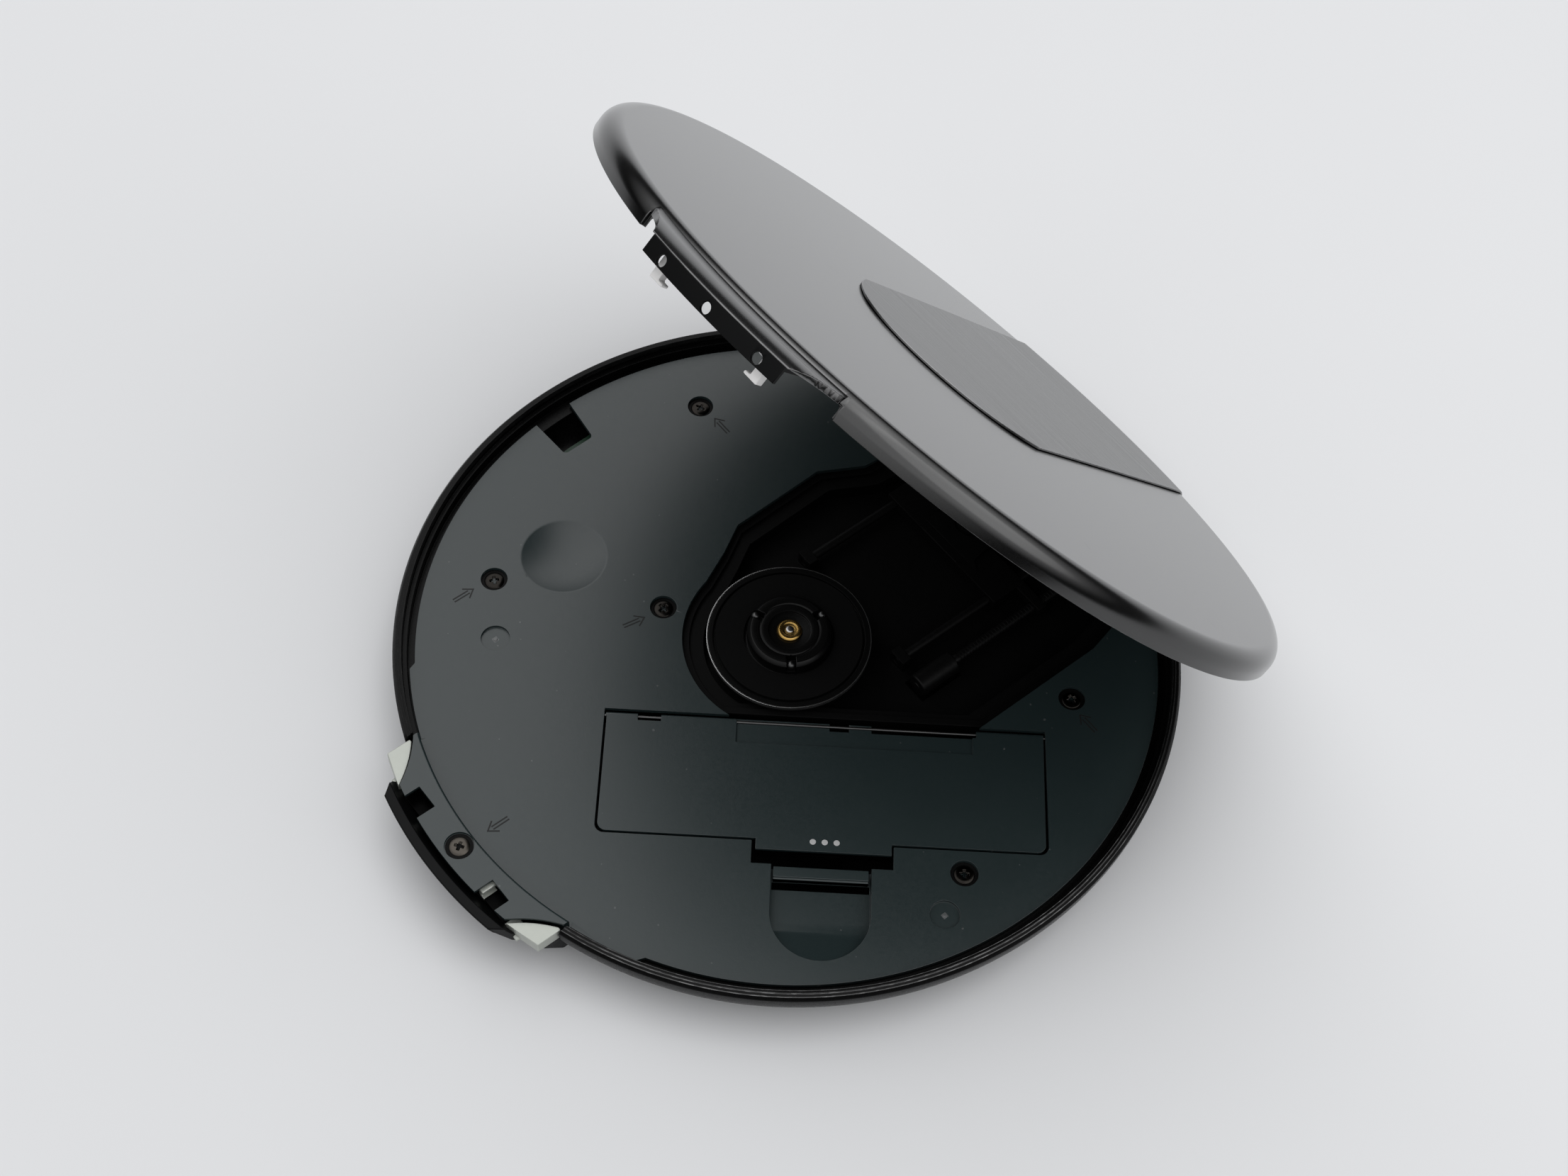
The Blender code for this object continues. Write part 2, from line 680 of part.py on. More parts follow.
def lid_skin(offset, inner=0):
    """The lid's outer line at an offset, from the skirt over the roll to the centre."""
    points = [(BODY_RADIUS + offset, LID_BASE + inner)]
    for index in range(LID_ROLL_STEPS + 1):
        angle = pi / 2 * index / LID_ROLL_STEPS
        reach = LID_ROLL + offset
        points.append((LID_SHOULDER + reach * cos(angle), LID_BASE + LID_SKIRT + reach * sin(angle)))
    top = LID_BASE + LID_SKIRT + LID_ROLL + offset
    points.append((LID_CROWN_RADIUS, top + LID_CROWN_RISE))
    points.append((0, top + LID_CENTRE_RISE))
    return points


def make_base():
    """The bowl with its rim and ledge, the front block and the rear hinge block."""
    profile = [(0, UNDERSIDE)]
    for index in range(BOWL_STEPS + 1):
        angle = pi / 2 * index / BOWL_STEPS
        profile.append((BOWL_FLAT_RADIUS + (BODY_RADIUS - BOWL_FLAT_RADIUS) * sin(angle),
                        UNDERSIDE + (BOWL_TOP - UNDERSIDE) * (1 - cos(angle))))
    step = RIM_HEIGHT - RIM_STEP_DROP
    shelf = RIM_HEIGHT - RIM_INNER_DEPTH
    profile += [(BODY_RADIUS, step - RIM_CHAMFER), (BODY_RADIUS - RIM_CHAMFER_OUTSET, step),
                (RIM_LIP_RADIUS, step), (RIM_LIP_RADIUS, RIM_HEIGHT),
                (RIM_INNER_RADIUS, RIM_HEIGHT), (RIM_INNER_RADIUS, shelf),
                (LEDGE_OUTER_RADIUS, shelf), (LEDGE_OUTER_RADIUS, LEDGE_HEIGHT),
                (LEDGE_INNER_RADIUS, LEDGE_HEIGHT),
                (LEDGE_INNER_RADIUS, LEDGE_HEIGHT - LEDGE_THICKNESS)]
    for inset, rise in reversed(list(zip(INNER_WALL_INSETS, INNER_WALL_RISES))):
        profile.append((BODY_RADIUS - inset, INNER_FLOOR + rise))
    profile.append((0, INNER_FLOOR))
    base = piece("base_shell", turned(profile), BLACK)

    high = RIM_HEIGHT + OVERRUN
    far = BODY_RADIUS + OVERRUN
    cut(base, block((-BLOCK_GAP_HALF, -far, LEDGE_HEIGHT), (BLOCK_GAP_HALF, -BLOCK_REAR, high)))
    nose = -degrees(asin(BLOCK_NOSE_HALF / BLOCK_RADIUS))
    front = arc(0, 0, BLOCK_RADIUS, nose - QUARTER, -QUARTER - nose, SHORT_ARC_STEPS)
    outline = [(BLOCK_HALF_WIDTH, -BLOCK_SHOULDER), (BLOCK_HALF_WIDTH, -BLOCK_REAR),
               (-BLOCK_HALF_WIDTH, -BLOCK_REAR), (-BLOCK_HALF_WIDTH, -BLOCK_SHOULDER)]
    join(base, plate([front + outline], BLOCK_BOTTOM, LEDGE_HEIGHT))

    round_back = arc(HINGE_Y, HINGE_HEIGHT, HINGE_BLOCK_ROUND, 0, -QUARTER, FILLET_STEPS)
    section = [(HINGE_BLOCK_FRONT, HINGE_HEIGHT - HINGE_BLOCK_ROUND),
               (HINGE_BLOCK_FRONT, HINGE_BLOCK_TOP),
               (HINGE_Y + HINGE_BLOCK_ROUND, HINGE_BLOCK_TOP)] + round_back
    join(base, across(section, -HINGE_BLOCK_HALF, HINGE_BLOCK_HALF))
    slot = [(y, z) for y, z in arc(HINGE_Y, HINGE_HEIGHT, ARM_BARREL_RADIUS + ARM_SLOT_GAP,
                                   *ARM_SLOT_ANGLES, FILLET_STEPS)]
    slot = [(SLOT_FRONT_Y, high), (SLOT_FRONT_Y, SLOT_FRONT_LOW)] + slot
    slot += [(far + OVERRUN, slot[-1][1]), (far + OVERRUN, high)]
    for side in (-1, 1):
        ends = sorted((side * (ARM_INNER - ARM_SLOT_GAP), side * (ARM_OUTER + ARM_SLOT_GAP)))
        cut(base, across(slot, *ends))
    pocket = SPRING_TURN_RADIUS + SPRING_WIRE_RADIUS + CLEARANCE
    cut(base, block((-SPRING_POCKET_HALF, HINGE_Y - pocket, HINGE_HEIGHT - pocket),
                    (SPRING_POCKET_HALF, HINGE_Y + pocket, RIM_HEIGHT - RIM_INNER_DEPTH)))
    cut(base, rod(PIN_RADIUS + RUNNING_GAP, (-PIN_HALF_LENGTH - CLEARANCE, HINGE_Y, HINGE_HEIGHT),
                  (HINGE_BLOCK_HALF + OVERRUN, HINGE_Y, HINGE_HEIGHT)))

    for x, y in SCREW_PLACES[:BOARD_BOSSES]:
        join(base, rod(BOSS_SHOULDER_RADIUS, (x, y, INNER_FLOOR - WALL / 2),
                       (x, y, BOARD_BOTTOM - CLEARANCE)))
    for x, y in SCREW_PLACES:
        join(base, rod(BOSS_RADIUS, (x, y, INNER_FLOOR - WALL / 2), (x, y, LEDGE_HEIGHT)))
    for angle in BUTTON_ANGLES:
        cut(base, window(angle, BUTTON_HALF_ANGLE, 0, BUTTON_BOTTOM, BUTTON_TOP))
    cut(base, window(HOLD_ANGLE, HOLD_HALF_ANGLE, HOLD_TRAVEL, HOLD_BOTTOM, HOLD_TOP))
    for angle in JACK_ANGLES:
        hole = rod(JACK_COLLAR_RADIUS + CLEARANCE / 2, (BOWL_FLAT_RADIUS, 0, JACK_HEIGHT),
                   (far, 0, JACK_HEIGHT))
        hole.transform(Matrix.Rotation(radians(angle), 4, "Z"))
        cut(base, hole)
    for angle in FOOT_ANGLES:
        x = FOOT_CIRCLE * cos(radians(angle))
        y = FOOT_CIRCLE * sin(radians(angle))
        seat = UNDERSIDE + FOOT_SEAT
        cut(base, rod(FOOT_RADIUS + CLEARANCE, (x, y, -OVERRUN), (x, y, seat)))
        foot = rod(FOOT_RADIUS, (x, y, UNDERSIDE - FOOT_PROUD), (x, y, seat - CLEARANCE))
        piece(f"foot_{angle:03d}", foot, RUBBER)


def across(section, left, right):
    """A closed section (y, z) carried along X."""
    turn = Matrix(((0, 1, 0, 0), (1, 0, 0, 0), (0, 0, 1, 0), (0, 0, 0, 1)))
    return swept(section, [Matrix.Translation((left, 0, 0)) @ turn,
                           Matrix.Translation((right, 0, 0)) @ turn])


def window(angle, half_angle, travel, bottom, top):
    """The hole in the bowl's side for a button or switch."""
    slack = CLEARANCE / BODY_RADIUS
    section = [(SWITCH_DOME_OUTER, bottom - CLEARANCE), (BODY_RADIUS + OVERRUN, bottom - CLEARANCE),
               (BODY_RADIUS + OVERRUN, top + CLEARANCE), (SWITCH_DOME_OUTER, top + CLEARANCE)]
    return sector(section, radians(angle) - half_angle - slack,
                  radians(angle) + half_angle + slack + travel / BODY_RADIUS, BAND_STEPS)


def well(offset, side):
    """The outline of the turntable and pickup opening, shrunk by an offset."""
    radius = OPENING_RADIUS - offset
    along = -sqrt(radius * radius - side * side)
    start = from_bay(along, side)
    end_angle = FULL_TURN + degrees(atan2(start[1], start[0]))
    right = OPENING_RIGHT_X - offset
    outline = arc(0, 0, radius, OPENING_START, end_angle, ROD_STEPS)
    outline.append((right, (right * sin(BAY_ANGLE) - side) / cos(BAY_ANGLE)))
    outline.append((right, OPENING_RIGHT_HIGH))
    outline.append((OPENING_REAR_RIGHT - offset, OPENING_REAR - offset))
    outline.append((offset - OPENING_REAR_LEFT, OPENING_REAR - offset))
    outline += [(x + offset, y) for x, y in OPENING_LEFT]
    return outline


def from_bay(along, out):
    """A place along and out of the battery bay, in the player's axes."""
    return (along * cos(BAY_ANGLE) + out * sin(BAY_ANGLE),
            along * sin(BAY_ANGLE) - out * cos(BAY_ANGLE))


def bay_mesh(mesh):
    """Turn a mesh made along the bay into the player's axes."""
    mesh.transform(Matrix.Rotation(BAY_ANGLE, 4, "Z"))
    return mesh


def bay_block(left, right, inner, outer, bottom, top):
    return block((left, -outer, bottom), (right, -inner, top))


def make_floor_plate():
    """The disc-well plate: the cover over the front block first, then the flat floor."""
    half = asin(COVER_HALF_WIDTH / FOLD_INNER_RADIUS)
    cover_bottom = RIM_HEIGHT - COVER_SKIN
    section = [(PLATE_RADIUS, PLATE_UNDERSIDE), (FOLD_INNER_RADIUS + SKIN, PLATE_UNDERSIDE),
               (FOLD_INNER_RADIUS + SKIN, cover_bottom), (COVER_RADIUS, cover_bottom),
               (COVER_RADIUS, RIM_HEIGHT), (FOLD_INNER_RADIUS, RIM_HEIGHT),
               (FOLD_INNER_RADIUS, FLOOR_HEIGHT), (PLATE_RADIUS, FLOOR_HEIGHT)]
    floor = piece("floor_plate", sector(section, -pi / 2 - half, -pi / 2 + half, ARC_STEPS), SLATE)
    high = RIM_HEIGHT + OVERRUN
    low = PLATE_UNDERSIDE - OVERRUN
    far = BODY_RADIUS + OVERRUN
    for side in (-1, 1):
        outer = sorted((side * COVER_HALF_WIDTH, side * far))
        cut(floor, block((outer[0], -far, low), (outer[1], -BLOCK_REAR + OVERRUN, high)))
        cut(floor, rod(SCOOP_RADIUS, (side * SCOOP_X, -SCOOP_Y, FLOOR_HEIGHT),
                       (side * SCOOP_X, -SCOOP_Y, high), ROUND_STEPS))
        hole = sorted((side * LATCH_HOLE_INNER, side * LATCH_HOLE_OUTER))
        cut(floor, block((hole[0], -BLOCK_RADIUS, FLOOR_HEIGHT), (hole[1], -LATCH_HOLE_REAR, high)))

    right = degrees(asin(PLATE_FRONT_RIGHT / PLATE_FRONT_RADIUS)) - QUARTER
    left = -QUARTER - degrees(asin(PLATE_FRONT_LEFT / PLATE_FRONT_RADIUS))
    edge = arc(0, 0, PLATE_FRONT_RADIUS, left, right, LONG_ARC_STEPS)
    edge += arc(0, 0, PLATE_RADIUS, right + PLATE_STEP_ANGLE, left + FULL_TURN - PLATE_STEP_ANGLE,
                PLATE_STEPS)
    join(floor, plate([edge], PLATE_UNDERSIDE, FLOOR_HEIGHT))

    recess_low = RECESS_FLOOR - RECESS_WALL
    tray = recess_outline(RECESS_WALL)
    join(floor, bay_mesh(plate([tray], recess_low, FLOOR_HEIGHT - SKIN / 2)))
    ramp = [(RECESS_INNER - OVERRUN, high), (RECESS_INNER - OVERRUN, RECESS_FLOOR),
            (RECESS_LOW_END, RECESS_FLOOR), (RECESS_OUTER, FLOOR_HEIGHT), (RECESS_OUTER, high)]
    ramp = [(-v, z) for v, z in ramp]
    hollow = piece("recess_hollow", bay_mesh(plate([recess_outline(0)], RECESS_FLOOR, high)), None)
    keep(hollow, bay_mesh(across(ramp, DOOR_LEFT, DOOR_RIGHT)))
    cut_with(floor, hollow)
    cut(floor, bay_mesh(bay_block(TAB_CUT_LEFT, TAB_CUT_RIGHT, DOOR_INNER, TAB_CUT_OUTER,
                                  low, high)))
    cut(floor, bay_mesh(plate([door_outline(0, OPENING_SIDE_V - CLEARANCE)], low, high)))
    cut(floor, plate([well(0, OPENING_SIDE_V)], low, high))
    cut(floor, block((-HINGE_PLATE_CUT_HALF, HINGE_PLATE_CUT_Y, low),
                     (HINGE_PLATE_CUT_HALF, far, high)))
    cut(floor, plate([rounded(NOTCH_CORNERS, NOTCH_ROUND)], low, high))

    for x, y in SCREW_PLACES:
        cut(floor, rod(SCREW_RECESS, (x, y, FLOOR_HEIGHT - SCREW_RECESS_DEPTH), (x, y, high)))
    cut(floor, rod(BLOCK_SCREW_RECESS, (0, -BLOCK_SCREW_Y, RIM_HEIGHT - CLEARANCE),
                   (0, -BLOCK_SCREW_Y, high)))
    for x, y in DIMPLE_PLACES:
        cut(floor, rod(DIMPLE_RADIUS, (x, y, FLOOR_HEIGHT - DIMPLE_DEPTH), (x, y, high)))
    x, y = DISH_PLACE
    join(floor, rod(DISH_BOSS_RADIUS, (x, y, PLATE_UNDERSIDE - DISH_BOSS_DEPTH),
                    (x, y, FLOOR_HEIGHT - SKIN / 2), CIRCLE_STEPS))
    sphere = (DISH_RADIUS * DISH_RADIUS + DISH_DEPTH * DISH_DEPTH) / (DISH_DEPTH * 2)
    dish = []
    for index in range(DISH_STEPS + 1):
        radius = DISH_RADIUS * index / DISH_STEPS
        dish.append((radius, FLOOR_HEIGHT - DISH_DEPTH + sphere - at_radius(sphere, radius)))
    dish += [(DISH_RADIUS, high), (0, high)]
    bowl = turned(dish, CIRCLE_STEPS)
    bowl.transform(Matrix.Translation((x, y, 0)))
    cut(floor, bowl)

    ends = ((DOOR_LEFT - EAR_LENGTH - DOOR_GAP, DOOR_LEFT - DOOR_GAP),
            (DOOR_RIGHT + DOOR_GAP, DOOR_RIGHT + DOOR_GAP + EAR_LENGTH))
    for start, end in ends:
        join(floor, bay_mesh(rod(EAR_RADIUS, (start, -DOOR_AXIS_V, EAR_HEIGHT),
                                 (end, -DOOR_AXIS_V, EAR_HEIGHT))))
    cut(floor, bay_mesh(rod(DOOR_ROD_RADIUS + RUNNING_GAP,
                            (ends[0][0] - OVERRUN, -DOOR_AXIS_V, DOOR_AXIS_HEIGHT),
                            (ends[1][1] + OVERRUN, -DOOR_AXIS_V, DOOR_AXIS_HEIGHT), BORE_STEPS)))


def door_outline(gap, inner):
    """The battery door from above, square along its hinge and rounded at the outer corners."""
    left, right = DOOR_LEFT + gap, DOOR_RIGHT - gap
    middle = DOOR_ROUND + gap - DOOR_OUTER
    outline = [(left, -inner), (right, -inner)]
    outline += arc(right - DOOR_ROUND, middle, DOOR_ROUND, 0, -QUARTER, CORNER_STEPS)
    outline += arc(left + DOOR_ROUND, middle, DOOR_ROUND, HALF_TURN + QUARTER, HALF_TURN, CORNER_STEPS)
    return outline


def recess_outline(offset):
    """The finger recess seen from above, a slot with a round outer end."""
    low = RECESS_CENTRE - RECESS_HALF - offset
    high = RECESS_CENTRE + RECESS_HALF + offset
    outline = [(low, -RECESS_INNER + offset)]
    outline += arc(RECESS_CENTRE, -RECESS_STRAIGHT, RECESS_HALF + offset, HALF_TURN, FULL_TURN, ROD_STEPS)
    outline.append((high, -RECESS_INNER + offset))
    return outline


def cut_with(body, tool):
    step = body.modifiers.new(tool.name, "BOOLEAN")
    step.operation = "DIFFERENCE"
    step.solver = "EXACT"
    step.object = tool


def make_front_block():
    """The bumper strip and the two release levers."""
    outer = degrees(asin(BUMPER_HALF_WIDTH / BUMPER_OUTER_RADIUS))
    inner = degrees(asin(BUMPER_NECK_HALF / BUMPER_INNER_RADIUS))
    outline = arc(0, 0, BUMPER_OUTER_RADIUS, -QUARTER - outer, -QUARTER + outer, SHORT_ARC_STEPS)
    outline.append((BUMPER_ROOT_HALF, -BUMPER_ROOT_Y))
    outline += arc(0, 0, BUMPER_INNER_RADIUS, -QUARTER + inner, -QUARTER - inner, SHORT_ARC_STEPS)
    outline.append((-BUMPER_ROOT_HALF, -BUMPER_ROOT_Y))
    piece("front_bumper", plate([outline], BUMPER_BOTTOM, RIM_HEIGHT), BLACK)

    for side, name in ((-1, "left"), (1, "right")):
        rear = acos((SCOOP_Y - LEVER_REAR_Y) / LEVER_ARC)
        front = acos((SCOOP_Y - LEVER_FRONT_Y) / LEVER_ARC)
        curve = []
        for index in range(LEVER_STEPS + 1):
            angle = rear + (front - rear) * index / LEVER_STEPS
            curve.append((side * (SCOOP_X - LEVER_ARC * sin(angle)),
                          LEVER_ARC * cos(angle) - SCOOP_Y))
        curve.append((side * LEVER_REAR_X, -LEVER_SIDE_Y))
        curve.append((side * LEVER_REAR_X, -LEVER_REAR_Y))
        frame = empty(f"release_{name}", (side * LEVER_REAR_X, -LEVER_SIDE_Y, LEVER_BOTTOM))
        home = (-side * LEVER_REAR_X, LEVER_SIDE_Y, -LEVER_BOTTOM)
        lever = piece(f"release_lever_{name}",
                      plate([curve], LEVER_BOTTOM, RIM_HEIGHT - LEVER_TOP_DROP),
                      SILVER, frame, home)
        reach = sorted((side * CATCH_INNER, side * LEVER_ARM_END))
        join(lever, block((reach[0], -LEVER_ARM_FRONT, LEVER_BOTTOM),
                          (reach[1], -LEVER_ARM_REAR, LEVER_ARM_TOP)))
        post = sorted((side * CATCH_INNER, side * CATCH_OUTER))
        join(lever, block((post[0], -LEVER_ARM_FRONT, LEVER_BOTTOM + CLEARANCE),
                          (post[1], -LEVER_ARM_REAR, CATCH_TOP)))
        nose = sorted((side * CATCH_INNER, side * CATCH_NOSE_OUTER))
        join(lever, block((nose[0], -LEVER_ARM_FRONT, CATCH_NOSE_BOTTOM),
                          (nose[1], -LEVER_ARM_REAR, CATCH_TOP)))


def make_lid():
    """The lid and everything that turns with it, modelled shut and hung from its hinge."""
    hinge = empty("lid_hinge", (0, HINGE_Y, HINGE_HEIGHT), (-LID_OPEN, 0, 0))
    home = (0, -HINGE_Y, -HINGE_HEIGHT)
    far = VISOR_RADIUS + OVERRUN
    skin = list(reversed(lid_skin(-LID_WALL))) + lid_skin(0)
    lid = piece("lid_shell", turned(skin), GREY_METAL, hinge, home)
    cut(lid, block((-LID_FRONT_HALF, -far, LID_BASE - OVERRUN),
                   (LID_FRONT_HALF, -VISOR_ROOT_RADIUS + OVERRUN, LID_BASE + LID_FRONT_CUT)))
    tip = degrees(asin(VISOR_HALF / VISOR_RADIUS))
    root = degrees(asin(VISOR_ROOT_HALF / VISOR_ROOT_RADIUS))
    outline = arc(0, 0, VISOR_RADIUS, -QUARTER - tip, -QUARTER + tip, ARC_STEPS)
    flank = flute(outline[-1], (VISOR_ROOT_HALF, -at_radius(BODY_RADIUS, VISOR_ROOT_HALF)))
    outline += flank
    outline += arc(0, 0, VISOR_ROOT_RADIUS, -QUARTER + root, -QUARTER - root, ARC_STEPS)
    outline += [(-x, y) for x, y in reversed(flank)]
    join(lid, plate([outline], LID_BASE + VISOR_UNDERSIDE, LID_BASE + VISOR_TOP))

    low = lid_skin(EMBLEM_GAP, EMBLEM_EDGE_RISE)
    high = lid_skin(EMBLEM_GAP + EMBLEM_THICKNESS, EMBLEM_EDGE_RISE)
    emblem = piece("emblem_plate", turned(list(reversed(low)) + high), BRUSHED, hinge, home)
    dip = EMBLEM_APEX_Y - EMBLEM_CORNER_Y
    radius = (EMBLEM_HALF * EMBLEM_HALF + dip * dip) / (dip * 2)
    spread = degrees(asin(EMBLEM_HALF / radius))
    outline = arc(0, radius - EMBLEM_APEX_Y, radius, -QUARTER - spread, -QUARTER + spread, LONG_ARC_STEPS)
    outline += [(EMBLEM_HALF, far), (-EMBLEM_HALF, far)]
    keep(emblem, plate([outline], LID_BASE - OVERRUN, LID_BASE + LID_ROLL + OVERRUN * 2))

    half = asin(STRIP_HALF / STRIP_SHELF_RADIUS)
    section = [(STRIP_SHELF_RADIUS, LID_BASE + STRIP_TOP - STRIP_SHELF),
               (STRIP_INNER_RADIUS, LID_BASE + STRIP_TOP - STRIP_SHELF),
               (STRIP_INNER_RADIUS, LID_BASE - STRIP_BOTTOM),
               (STRIP_OUTER_RADIUS, LID_BASE - STRIP_BOTTOM),
               (STRIP_OUTER_RADIUS, LID_BASE + STRIP_TOP),
               (STRIP_SHELF_RADIUS, LID_BASE + STRIP_TOP)]
    strip = piece("latch_strip", sector(section, -pi / 2 - half, -pi / 2 + half, ARC_STEPS),
                  BLACK, hinge, home)
    keep(strip, block((-STRIP_HALF, -far, LID_BASE - OVERRUN),
                      (STRIP_HALF, -STRIP_SHELF_RADIUS + OVERRUN, LID_BASE + STRIP_TOP + OVERRUN)))
    middle = LID_BASE + STRIP_HOLE_RISE
    for x in (-STRIP_HOLE_X, 0, STRIP_HOLE_X):
        cut(strip, rod(STRIP_HOLE_RADIUS, (x, -far, middle), (x, -STRIP_INNER_RADIUS + OVERRUN,
                                                              middle), ROD_STEPS))

    foot = LID_BASE - CLAW_DROP
    top = LID_BASE + STRIP_TOP - STRIP_SHELF - CLEARANCE
    for side, name in ((-1, "left"), (1, "right")):
        body = sorted((side * (CLAW_INNER + CLAW_NOSE), side * CLAW_OUTER))
        claw = piece(f"latch_claw_{name}",
                     block((body[0], -CLAW_FRONT, foot), (body[1], -CLAW_REAR, top)),
                     MILKY, hinge, home)
        hook = sorted((side * CLAW_INNER, side * CLAW_OUTER))
        join(claw, block((hook[0], -CLAW_FRONT, foot), (hook[1], -CLAW_REAR,
                                                        foot + CLAW_NOSE_HEIGHT)))
        join(claw, block((hook[0], -CLAW_FRONT, top - CLAW_NOSE_HEIGHT),
                         (hook[1], -CLAW_REAR, top)))

    make_liner(hinge, home)
    make_bracket(hinge, home)


def flute(start, end):
    """The points after the first of a hollow flank between two points."""
    points = []
    middle = ((start[0] + end[0]) / 2, (start[1] + end[1]) / 2)
    for index in range(1, FLUTE_STEPS + 1):
        share = index / FLUTE_STEPS
        dip = VISOR_FLUTE_SAG * sin(pi * share)
        points.append((start[0] + (end[0] - start[0]) * share - dip * (middle[0] / hypot(*middle)),
                       start[1] + (end[1] - start[1]) * share - dip * (middle[1] / hypot(*middle))))
    return points


def make_liner(hinge, home):
    """The black inner skin of the lid with its two low rings."""
    bottom = LID_BASE + LINER_BOTTOM
    rib = bottom - LINER_RIB_HEIGHT
    top = LID_BASE + LINER_TOP
    profile = [(0, bottom), (LINER_CLAMP_RADII[0], bottom), (LINER_CLAMP_RADII[0], rib),
               (LINER_CLAMP_RADII[1], rib), (LINER_CLAMP_RADII[1], bottom),
               (LINER_RIB_RADII[0], bottom), (LINER_RIB_RADII[0], rib),
               (LINER_RIB_RADII[1], rib), (LINER_RIB_RADII[1], bottom),
               (LINER_RADIUS, bottom), (LINER_RADIUS, top), (0, top)]
    liner = piece("lid_liner", turned(profile), BLACK, hinge, home)
    half = asin(LID_FRONT_HALF / LINER_FRONT_RADIUS)
    section = [(LINER_FRONT_RADIUS, rib - OVERRUN), (BODY_RADIUS, rib - OVERRUN),
               (BODY_RADIUS, top + OVERRUN), (LINER_FRONT_RADIUS, top + OVERRUN)]
    cut(liner, sector(section, -pi / 2 - half, -pi / 2 + half, FILLET_STEPS))
    cut(liner, block((-BRACKET_HALF - CLEARANCE, LINER_REAR_Y, rib - OVERRUN),
                     (BRACKET_HALF + CLEARANCE, BODY_RADIUS, top + OVERRUN)))


def make_bracket(hinge, home):
    """The sheet bracket under the lid with its two arms and barrels."""
    top = LID_BASE + BRACKET_TOP
    bottom = top - BRACKET_THICKNESS
    bracket = piece("hinge_bracket", block((-BRACKET_HALF, BRACKET_FRONT, bottom),
                                           (BRACKET_HALF, BRACKET_REAR, top)), STEEL, hinge, home)
    rear, front = [[(BODY_RADIUS - inset, RIM_HEIGHT + rise) for inset, rise in points]
                   for points in (ARM_REAR_POINTS, ARM_FRONT_POINTS)]
    arm = [(BRACKET_ARM_FRONT, bottom + BRACKET_THICKNESS / 2),
           (BRACKET_REAR, bottom + BRACKET_THICKNESS / 2)] + rear
    arm += arc(HINGE_Y, HINGE_HEIGHT, ARM_BARREL_RADIUS, *ARM_BARREL_ANGLES, LONG_ARC_STEPS) + front
    for side in (-1, 1):
        ends = sorted((side * ARM_INNER, side * ARM_OUTER))
        join(bracket, across(arm, *ends))
    cut(bracket, rod(PIN_RADIUS + RUNNING_GAP, (-ARM_OUTER - OVERRUN, HINGE_Y, HINGE_HEIGHT),
                     (ARM_OUTER + OVERRUN, HINGE_Y, HINGE_HEIGHT)))


def make_hinge_pin():
    piece("hinge_pin", rod(PIN_RADIUS, (-PIN_HALF_LENGTH, HINGE_Y, HINGE_HEIGHT),
                           (PIN_HALF_LENGTH, HINGE_Y, HINGE_HEIGHT)), STEEL)
    curve = bpy.data.curves.new("spring", "CURVE")
    curve.dimensions = "3D"
    curve.bevel_depth = SPRING_WIRE_RADIUS
    curve.bevel_resolution = 1
    curve.use_fill_caps = True
    spline = curve.splines.new("POLY")
    count = SPRING_TURNS * SPRING_POINTS
    places = []
    for index in range(count + 1):
        angle = 2 * pi * index / SPRING_POINTS
        x = SPRING_HALF_LENGTH * (2 * index / count - 1)
        places.append((x, HINGE_Y + SPRING_TURN_RADIUS * cos(angle),
                       HINGE_HEIGHT + SPRING_TURN_RADIUS * sin(angle)))
    places.append((SPRING_HALF_LENGTH, HINGE_Y + SPRING_TURN_RADIUS, HINGE_HEIGHT + SPRING_LEG))
    spline.points.add(len(places) - 1)
    for point, place in zip(spline.points, places):
        point.co = (*place, 1)
    maker = bpy.data.objects.new("maker", curve)
    bpy.context.scene.collection.objects.link(maker)
    piece("hinge_spring", baked(maker), STEEL)
    pitch = 2 * SPRING_HALF_LENGTH / SPRING_TURNS
    print("least gap between spring turns", round(pitch - 2 * SPRING_WIRE_RADIUS, 5))


